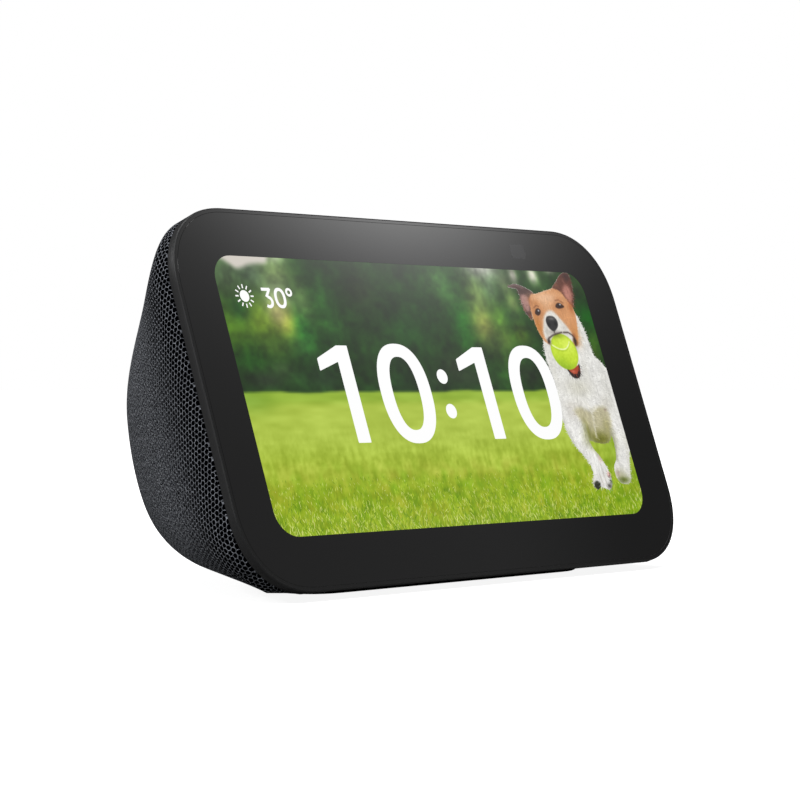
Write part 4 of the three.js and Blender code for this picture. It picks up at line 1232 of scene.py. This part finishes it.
def add_scenery():
    left, right, low, high = CANVAS
    u, v, quads = grid_points(left - 0.8, right + 0.8, low - 0.8, high + 0.8, 0.42)
    canvas = Canvas(u, v, (24, 58, 14))
    for spot in FOLIAGE:
        canvas.glow(*spot)
    canvas.vary(0.2 * wander(u, v, (5.5, 5.0), 11) + 0.14 * wander(u, v, (1.7, 1.5), 15))
    canvas.shape(FAR_SKY, (206, 200, 190), 0.9)
    lawn = Canvas(u, v, (171, 193, 68))
    lawn.lay(ease((35 - v) / 18), (138, 164, 14))
    lawn.lay(ease((v - 40) / 2.5), (148, 180, 52))
    lawn.lay(ease((30 - v) / 6) * ease((v - 21) / 6) * 0.5, (170, 184, 62))
    lawn.glow((-60, 42), (7, 3), (122, 160, 44), 0.8)
    lawn.glow((60, 26), (8, 12), (118, 152, 26), 0.6)
    lawn.glow((0, 12), (70, 3), (126, 154, 24), 0.5)
    lawn.shift(9 * wander(u, v, (7.0, 1.6), 21))
    lawn.shift(11 * wander(u, v, (1.3, 3.2), 31) * ease((36 - v) / 9))
    lawn.shift(8 * wander(u, v, (0.7, 1.0), 35) * ease((40 - v) / 12))
    warm = wander(u, v, (2.2, 2.8), 41) * ease((30 - v) / 8)
    lawn.ink += warm[:, None] * np.array((16, 5, 14))
    edge = LAWN_EDGE + 0.25 * wander(u, v, (4, 50), 51, 1)
    canvas.lay(ease((edge - v) / 0.9 + 0.5), lawn.ink)
    lit_piece("picture_scenery", in_picture(u, v, SCENERY_DEPTH), quads.tolist(),
              lit_finish("lit_scenery"), canvas.ink)


GRASS_COLOURS = ((70, 112, 8), (104, 142, 12), (136, 168, 20), (162, 188, 36), (190, 206, 92),
                 (212, 216, 140), (112, 146, 34))


GRASS_COUNT = 5200
GRASS_BAND = 14                      # height of the strip with blades at the foot of the picture


def add_grass():
    """Blades of grass, shorter and thinner towards the back of the lawn."""
    draw = np.random.default_rng(61)
    count = GRASS_COUNT
    left, right, low = CANVAS[:3]
    u = draw.uniform(left - 0.5, right + 0.5, count)
    v = low - 1.5 + GRASS_BAND * draw.beta(1.0, 1.5, count)
    order = np.argsort(v)
    u, v = u[order], v[order]
    reach = (26 - v) / GRASS_BAND
    angles = math.pi / 2 + draw.normal(0, 0.42, count)
    lengths = draw.uniform(0.5, 1.5, count) * (0.45 + reach)
    widths = draw.uniform(0.1, 0.22, count) * (0.55 + 0.6 * reach)
    inks = np.array(GRASS_COLOURS, float)[draw.integers(0, len(GRASS_COLOURS), count)]
    inks = inks * 0.8 + np.array((140, 164, 24)) * 0.25 + draw.normal(0, 7, (count, 1))
    add_strokes("picture_grass", np.stack([u, v], -1), angles, lengths, widths, inks,
                GRASS_DEPTH, lit_finish("lit_grass"))


# ---- lit picture: the dog ----------------------------------------------------------------------
BODY = ((42.6, 58), (41.6, 54), (41.6, 50), (42.1, 46), (42.2, 42), (41.5, 39), (41.2, 36.5),
        (41.7, 33), (43.2, 29.8), (45.4, 27.2), (46.8, 25), (47.1, 22.8), (46.1, 20.8), (46.1, 19.4),
        (47.3, 18.7), (48.5, 19.4), (50.3, 18.9), (51.6, 18.6), (52.8, 19.5), (53.3, 21.2),
        (53.1, 23.2), (52.2, 25.2), (51.3, 27), (49.7, 28.9), (48.9, 31.2), (50.2, 30.8),
        (53.8, 30.1), (56.6, 30.6), (58.2, 32), (58.3, 30), (58, 27.8), (57.2, 25.8), (55.8, 24.2),
        (55.4, 22), (56.4, 20.2), (58.6, 19.8), (60.6, 20.5), (61.8, 24), (63.2, 27.5), (65, 31),
        (65, 48.3), (63.4, 49.6), (61.8, 51.4), (60.1, 52.8), (59.6, 56), (59.1, 59.5), (58, 62.8),
        (56, 65), (50, 66), (44, 64))
HEAD = ((40.8, 65.3), (40.7, 62.4), (41.2, 59.2), (42, 57.2), (43.8, 55.6), (48, 54.6), (54.2, 55.2),
        (55.6, 56.8), (56.6, 59.5), (57.4, 62.8), (57.1, 65.2), (55.8, 67), (54, 69.3), (51.6, 70.2),
        (50.1, 69.9), (47.9, 69.4), (45.6, 68.8), (43.8, 68.5), (42.4, 68.4), (41.3, 67.2))
LEFT_EAR = ((34.3, 70.1), (35.7, 70.6), (37.4, 70.9), (40.1, 70.3), (43.3, 68.8), (42.5, 67.2),
            (41.4, 66), (40.8, 64.3), (40.2, 61.7), (39.3, 62.5), (38.3, 63.7), (37.9, 66.7),
            (37.6, 69.4), (36, 69.8))
RIGHT_EAR = ((51.2, 70.1), (53.3, 71.9), (55.6, 73.8), (57.8, 74.5), (59.2, 73.9), (59.3, 71.2),
             (58.8, 68.7), (57.9, 66.3), (57.2, 65.2), (55.8, 66.7), (54, 69))
BELLY = ((46.4, 38.6), (49.1, 39.5), (52.2, 38.6), (55, 39.4), (58.6, 39.4), (59.6, 36.6), (58.8, 33.6),
         (57.3, 31.4), (53.9, 30.2), (50.8, 30.9), (49.2, 32.8), (48.5, 35.4))
BLAZE = ((47.5, 64.3), (46, 63.6), (44.8, 62.4), (43.9, 60.6), (43.1, 58.4), (43.7, 56.3), (46, 55.2),
         (52, 55.2), (54, 57.4), (53.3, 59.4), (51.7, 61.5), (50.1, 63.3), (48.9, 64.2))
NOSE = ((45.3, 61.8), (46.1, 62.7), (47.5, 62.9), (48.9, 62.6), (49.6, 61.5), (49.3, 60.3), (48.3, 59.4),
        (47.2, 58.9), (46.1, 59.4), (45.3, 60.5))
LIPS = ((44, 55.9), (44.5, 57.1), (46.4, 57.9), (48.1, 58.3), (50.2, 58.7), (52.6, 58.7), (54.1, 57.9),
        (54.6, 56.7), (54.2, 55.4))
JAW = ((48.2, 49.4), (48.7, 48.2), (49.5, 47.2), (51.1, 46.8), (52.5, 47.4), (53.2, 48.9), (53.4, 50.6),
       (52, 49.4), (50.4, 49))
TONGUE = ((48.9, 49.1), (49.8, 48.2), (51.4, 48), (52.5, 49), (52.9, 50.2), (51, 49.6))
BALL = (49.1, 53.7)
BALL_REACH = (5.0, 4.65)
LEFT_EYE = ((41.9, 63.4), (42.5, 64.4), (43.5, 64.8), (44.3, 64.3), (43.9, 63.4), (42.9, 62.9))
RIGHT_EYE = ((50.5, 65.3), (51.1, 66.1), (52.2, 66.4), (53.3, 66), (53.9, 65.4), (52.7, 65), (51.4, 64.9))


def paint_coat(canvas):
    for spot in (
            ((43.2, 51), (1.4, 6), (196, 195, 186), 0.6), ((50.5, 44.5), (5, 2.6), (194, 192, 178), 0.8),
            ((57.5, 56), (1.2, 5), (204, 203, 196), 0.5), ((55, 49), (1.2, 3), (196, 194, 184), 0.5),
            ((61.5, 44), (2, 5), (196, 195, 188), 0.6), ((47, 40.2), (3.6, 1), (194, 190, 180), 0.6),
            ((59.5, 40), (2.2, 2), (188, 184, 172), 0.6)):
        canvas.glow(*spot)
    canvas.shape(BELLY, (178, 172, 142), 0.9)
    canvas.glow((53.6, 31.2), (5, 2.2), (104, 106, 36), 0.95)
    canvas.glow((49.2, 33.4), (1.1, 2.6), (112, 114, 48), 0.85)
    canvas.glow((57.2, 34.6), (1.3, 2), (150, 146, 96), 0.7)
    canvas.glow((45.5, 38), (1.8, 1.8), (190, 184, 174), 0.5)
    canvas.stroke(((52.6, 39.5), (52.9, 37), (52.5, 34.2), (52.1, 31.8)), 0.5, (206, 202, 184), 0.35, 0.8)
    canvas.stroke(((51.9, 40.6), (53, 38.2), (55.6, 39.6)), 0.6, (216, 213, 202), 0.4, 0.7)
    canvas.stroke(((48.4, 41.2), (52, 39.6)), 1.0, (222, 220, 212), 0.5, 0.6)
    canvas.glow((58.5, 38.7), (0.4, 0.4), (140, 122, 112), 0.8)
    canvas.glow((46, 37.6), (0.25, 0.25), (140, 122, 112), 0.5)
    canvas.stroke(((48.9, 35), (48.6, 31.5), (49.6, 28.8), (51.4, 26.6)), 1.0, (176, 176, 150), 0.6, 0.7)
    canvas.stroke(((41.5, 36), (42.2, 32.5), (44.4, 28.6), (46.8, 25.2)), 1.0, (190, 190, 182), 0.6, 0.7)
    canvas.glow((45, 32), (1.4, 3), (232, 231, 228), 0.7)
    canvas.glow((48.4, 26.6), (1.6, 2), (230, 229, 226), 0.7)
    canvas.stroke(((58.5, 33.5), (58.4, 29), (57.6, 26)), 0.9, (150, 150, 128), 0.6, 0.8)
    canvas.glow((60.6, 32), (1.2, 5), (230, 229, 226), 0.7)
    canvas.stroke(((63.8, 32), (62.4, 27), (61, 21)), 1.2, (196, 194, 182), 0.7, 0.6)


def paint_paws(canvas):
    canvas.glow((57.6, 22), (2.2, 1.7), (168, 166, 132), 0.7)
    canvas.glow((58, 20.8), (2.4, 0.9), (88, 100, 36), 0.95)
    canvas.glow((56.4, 22.6), (0.7, 0.8), (150, 126, 112), 0.6)
    canvas.shape(((46.3, 20.4), (47.4, 20.9), (48.6, 20.4), (48.5, 19.2), (47.3, 18.6), (46.3, 19.2)),
                 (44, 46, 34), 0.3)
    canvas.glow((46.4, 21.3), (0.5, 0.7), (200, 190, 178), 0.8)
    for top, low in (((49.4, 22.4), (49.6, 19.6)), ((50.9, 23), (51, 20.2)), ((52, 23.4), (52.4, 21.4))):
        canvas.stroke((top, low), 0.3, (176, 170, 160), 0.25, 0.8)
    canvas.glow((51.9, 19.5), (0.9, 0.6), (56, 54, 44), 0.95)
    canvas.glow((52.8, 22.4), (0.6, 0.6), (210, 150, 140), 0.9)
    canvas.stroke(((52.3, 22), (52.9, 21.6), (53.1, 22.6)), 0.25, (74, 48, 44), 0.15, 0.9)
    canvas.glow((52.8, 20.6), (0.5, 0.6), (44, 52, 34), 0.9)
    canvas.glow((51, 26.4), (0.5, 0.8), (214, 176, 164), 0.6)


def paint_head(canvas):
    canvas.shape(HEAD, (206, 146, 98), 0.25)
    for spot in (
            ((47.5, 67.6), (5, 1.5), (232, 188, 152), 0.85), ((47.2, 66), (1.7, 2), (222, 176, 136), 0.6),
            ((43.2, 66.1), (1.2, 0.8), (184, 122, 72), 0.7),
            ((52.6, 67.6), (1.6, 0.6), (196, 134, 86), 0.6), ((42, 60.4), (1.2, 2.6), (184, 118, 52), 0.85),
            ((54.2, 62), (1.6, 2), (214, 152, 102), 0.6), ((55.4, 58), (1.3, 2.4), (198, 136, 74), 0.85),
            ((56.4, 65.4), (1, 1.6), (176, 104, 58), 0.8), ((41.3, 66.6), (0.8, 1.2), (170, 108, 66), 0.7),
            ((54.6, 56), (0.9, 0.8), (142, 92, 44), 0.7)):
        canvas.glow(*spot)
    canvas.shape(BLAZE, (224, 221, 214), 0.55)
    canvas.glow((44.7, 58.6), (0.9, 2), (190, 186, 176), 0.7)
    canvas.glow((51.7, 59.8), (1, 1.2), (196, 190, 182), 0.6)
    canvas.glow((47.3, 58.7), (2.2, 0.6), (150, 142, 134), 0.7)
    canvas.shape(NOSE, (42, 41, 42), 0.2)
    canvas.glow((47.6, 62.2), (1.2, 0.4), (118, 116, 116), 0.8)
    canvas.glow((46.1, 60.7), (0.5, 0.5), (16, 15, 16), 0.9)
    canvas.glow((48.6, 60.9), (0.5, 0.5), (16, 15, 16), 0.9)
    canvas.stroke(((47.3, 59.2), (47.4, 58.3)), 0.3, (50, 44, 42), 0.15, 0.9)


def paint_eyes(canvas):
    for outline, middle in ((LEFT_EYE, (43.1, 63.9)), (RIGHT_EYE, (52.1, 65.7))):
        canvas.glow(middle, (1.7, 1.2), (150, 92, 52), 0.55)
        canvas.shape(outline, (58, 34, 24), 0.16)
        canvas.glow(middle, (0.5, 0.45), (34, 20, 16), 0.95)
        canvas.glow((middle[0] + 0.4, middle[1] + 0.28), (0.3, 0.2), (232, 236, 244), 0.95)
    canvas.stroke(((42, 64.9), (43.2, 65.5), (44, 65.3)), 0.3, (120, 72, 42), 0.2, 0.7)
    canvas.stroke(((51, 67), (52.4, 67.2), (53.8, 66.4)), 0.3, (128, 78, 48), 0.2, 0.7)


def paint_ears(canvas):
    canvas.shape(LEFT_EAR, (76, 54, 50), 0.15)
    canvas.shape(((38.2, 67.8), (40.2, 68.1), (41, 66.8), (40.6, 65), (39.6, 63.8), (38.5, 65)),
                 (172, 130, 122), 0.55, 0.9)
    canvas.stroke(((34.5, 70.2), (37.4, 70.6), (40, 70)), 0.5, (112, 90, 86), 0.25, 0.8)
    canvas.glow((39.8, 62.7), (0.5, 0.8), (122, 66, 42), 0.8)
    canvas.glow((38.4, 64.4), (0.35, 0.6), (150, 92, 70), 0.7)
    canvas.shape(RIGHT_EAR, (98, 56, 44), 0.15)
    canvas.glow((57.8, 73.4), (1.6, 1.2), (58, 36, 34), 0.85)
    canvas.glow((52.6, 71), (1.2, 0.7), (120, 76, 56), 0.7)
    canvas.shape(((55, 69.6), (56.2, 71), (57.6, 70.8), (58.2, 69), (57.6, 67.2), (56.8, 66.4),
                  (55.8, 67.6)), (188, 128, 114), 0.7, 0.9)
    canvas.stroke(((56.2, 72.6), (56.8, 70.4), (57.2, 68)), 0.4, (150, 98, 84), 0.3, 0.7)
    canvas.stroke(((59.1, 73), (58.9, 69.4), (57.9, 66.6)), 0.5, (84, 46, 38), 0.25, 0.9)


def paint_mouth(canvas):
    canvas.shape(JAW, (36, 28, 28), 0.15)
    canvas.shape(TONGUE, (170, 66, 40), 0.2)
    canvas.glow((50.4, 48.6), (0.7, 0.3), (214, 120, 96), 0.7)
    depth = depth_inside(ellipse(BALL, BALL_REACH), canvas.u, canvas.v)
    ball = Canvas(canvas.u, canvas.v, (194, 222, 50))
    ball.glow((50.8, 55.6), (3, 2), (220, 240, 96), 0.8)
    ball.glow((46.6, 50.6), (3, 1.8), (158, 194, 34), 0.8)
    ball.glow((48.6, 49.6), (4, 1), (140, 178, 28), 0.7)
    ball.glow((47.4, 57.9), (3, 0.8), (122, 140, 24), 0.75)
    ball.lay(ease(1 - depth / 0.9) * 0.35, (150, 182, 30))
    seam = rounded_loop(((44.9, 56.1), (46, 54.9), (48.2, 54.3), (50.4, 54.7), (51.9, 56.6), (49, 59)))[:24]
    ball.stroke(seam, 0.34, (240, 248, 196), 0.15, 0.9)
    ball.stroke(seam - np.array((0, 0.4)), 0.3, (160, 190, 34), 0.2, 0.6)
    ball.shift(7 * wander(canvas.u, canvas.v, (0.5, 0.5), 71))
    canvas.lay(ease(depth / 0.3 + 0.5), ball.ink)
    canvas.stroke(LIPS, 0.4, (52, 36, 30), 0.25, 0.85)
    canvas.glow((44.3, 56.3), (0.6, 0.7), (38, 26, 24), 0.95)
    canvas.glow((54.3, 56.6), (0.6, 1.2), (44, 30, 27), 0.95)
    canvas.glow((54.7, 58), (0.5, 0.6), (150, 88, 56), 0.7)


def add_dog():
    u, v, quads = grid_points(33.8, 64.8, 18.2, 75.0, 0.17)
    canvas = Canvas(u, v, (216, 215, 211))
    paint_coat(canvas)
    paint_paws(canvas)
    canvas.vary(0.04 + 0.045 * wander(u, v, (0.5, 2.4), 81) + 0.03 * wander(u, v, (0.25, 1.0), 85))
    paint_ears(canvas)
    paint_head(canvas)
    canvas.vary(0.05 * wander(u, v, (0.3, 0.7), 87))
    paint_eyes(canvas)
    paint_mouth(canvas)
    outlines = [rounded_loop(part) for part in (BODY, HEAD, LEFT_EAR, RIGHT_EAR, JAW)]
    outlines.append(ellipse(BALL, BALL_REACH))
    depth = np.max([depth_inside(loop, u, v) for loop in outlines], axis=0)
    kept = quads[depth[quads].mean(1) > -0.03]
    used, faces = np.unique(kept, return_inverse=True)
    lit_piece("picture_dog", in_picture(u[used], v[used], DOG_DEPTH), faces.reshape(-1, 4).tolist(),
              lit_finish("lit_dog"), canvas.ink[used])
    add_fur(canvas, depth)


FUR_INSIDE, FUR_ON_RIM = 4200, 700   # number of hairs


def add_fur(canvas, depth):
    """Fine hairs in the colours under them, and tufts standing out along the neck and legs."""
    draw = np.random.default_rng(91)
    u, v, ink = canvas.u, canvas.v, canvas.ink
    ball = depth_inside(ellipse(BALL, BALL_REACH), u, v)
    nose = depth_inside(rounded_loop(NOSE), u, v)
    eyes = np.maximum(*[depth_inside(rounded_loop(eye), u, v) for eye in (LEFT_EYE, RIGHT_EYE)])
    free = (ball < -0.5) & (nose < -0.2) & (eyes < -0.5)
    inner = draw.choice(np.flatnonzero((depth > 0.25) & free), FUR_INSIDE)
    rim = draw.choice(np.flatnonzero((depth > 0) & (depth < 0.35) & free), FUR_ON_RIM)
    roots = np.concatenate([inner, rim])
    spots = np.stack([u[roots], v[roots]], -1) + draw.uniform(-0.08, 0.08, (len(roots), 2))
    outward = np.arctan2(-1.2, spots[:, 0] - 50.0)  # down, and away from the dog's middle
    angles = outward + draw.normal(0, 0.35, len(roots))
    on_rim = np.arange(len(roots)) >= len(inner)
    head = depth_inside(rounded_loop(HEAD), spots[:, 0], spots[:, 1]) > 0
    lengths = draw.uniform(0.7, 1.7, len(roots)) * np.where(head, 0.45, np.where(on_rim, 0.6, 1.0))
    widths = draw.uniform(0.05, 0.12, len(roots))
    inks = ink[roots] * (1 + draw.normal(0, 0.07, (len(roots), 1)))
    add_strokes("picture_dog_fur", spots, angles, lengths, widths, inks, FUR_DEPTH, lit_finish("lit_fur"))


# ---- lit picture: clock and weather ------------------------------------------------------------
WHITE = (0.97, 0.97, 0.97, 1)
CLOCK_LINE = 48.5


def oval(middle, reach, power=2.35, steps=64):
    turn = circle(steps)
    across, up = np.cos(turn), np.sin(turn)
    bend = 2 / power
    return np.stack([middle[0] + reach[0] * np.sign(across) * abs(across) ** bend,
                     middle[1] + reach[1] * np.sign(up) * abs(up) ** bend], -1)


# corners of the digit 1, as x, y and rounding
ONE = ((0, 0.1, 0.3), (0, 3.0, 0.3), (6.8, 6.0, 0.3), (10.2, 6.0, 0.25), (10.2, -16.4, 0.25),
       (6.2, -16.4, 0.25), (6.2, 2.2, 0.2))


def in_clock(flat):
    return in_picture(flat[:, 0], flat[:, 1], CLOCK_DEPTH)


def add_clock():
    digits = Lettering()
    for left in (-36.9, 8.4):
        digits.fill(soft_corners([(left + x, CLOCK_LINE + y, reach) for x, y, reach in ONE], 4))
    for middle in (-11.3, 33.8):
        centre = (middle, 43.35)
        digits.ring(oval(centre, (8.3, 11.75)), oval(centre, (4.35, 8.65)))
    for up in (47.3, 39.0):
        digits.fill(ellipse((2.1, up), (1.75, 1.75)))
    digits.place("clock_digits", in_clock, "body", "screen", lit_finish("lit_clock", WHITE))


def add_weather():
    sign = Lettering()
    sun = np.array((-53.9, 65.4))
    sign.fill(ellipse(sun, (1.33, 1.33), 32))
    for turn in circle(12):
        ray = np.array((math.cos(turn), math.sin(turn)))
        sign.ribbon([sun + ray * 1.75, sun + ray * 2.2, sun + ray * 2.65], 0.34)
    bowl = [(-47.15 + 1.12 * math.cos(a), 64.25 + 1.12 * math.sin(a))
            for a in np.linspace(math.radians(88), math.radians(-128), 14)]
    sign.ribbon([(-48.55, 67.1), (-47.4, 67.1), (-46.1, 67.1)], 0.7)
    sign.ribbon([(-46.05, 67.35), (-46.7, 66.4), (-47.5, 65.35)], 0.66)
    sign.ribbon(bowl, 0.72)
    sign.ring(oval((-43.4, 65.2), (1.68, 2.35), 2.3), oval((-43.4, 65.2), (0.92, 1.62), 2.3))
    sign.ring(ellipse((-40.4, 66.6), (1.0, 1.0), 32), ellipse((-40.4, 66.6), (0.45, 0.45), 32))
    sign.place("weather_sign", in_clock, "body", "screen", lit_finish("lit_weather", WHITE))


repaint_nodes()
add_sleeve()
add_frame()
add_glass()
add_control_strip()
add_buttons()
add_shutter()
add_port()
add_scenery()
add_grass()
add_dog()
add_clock()
add_weather()
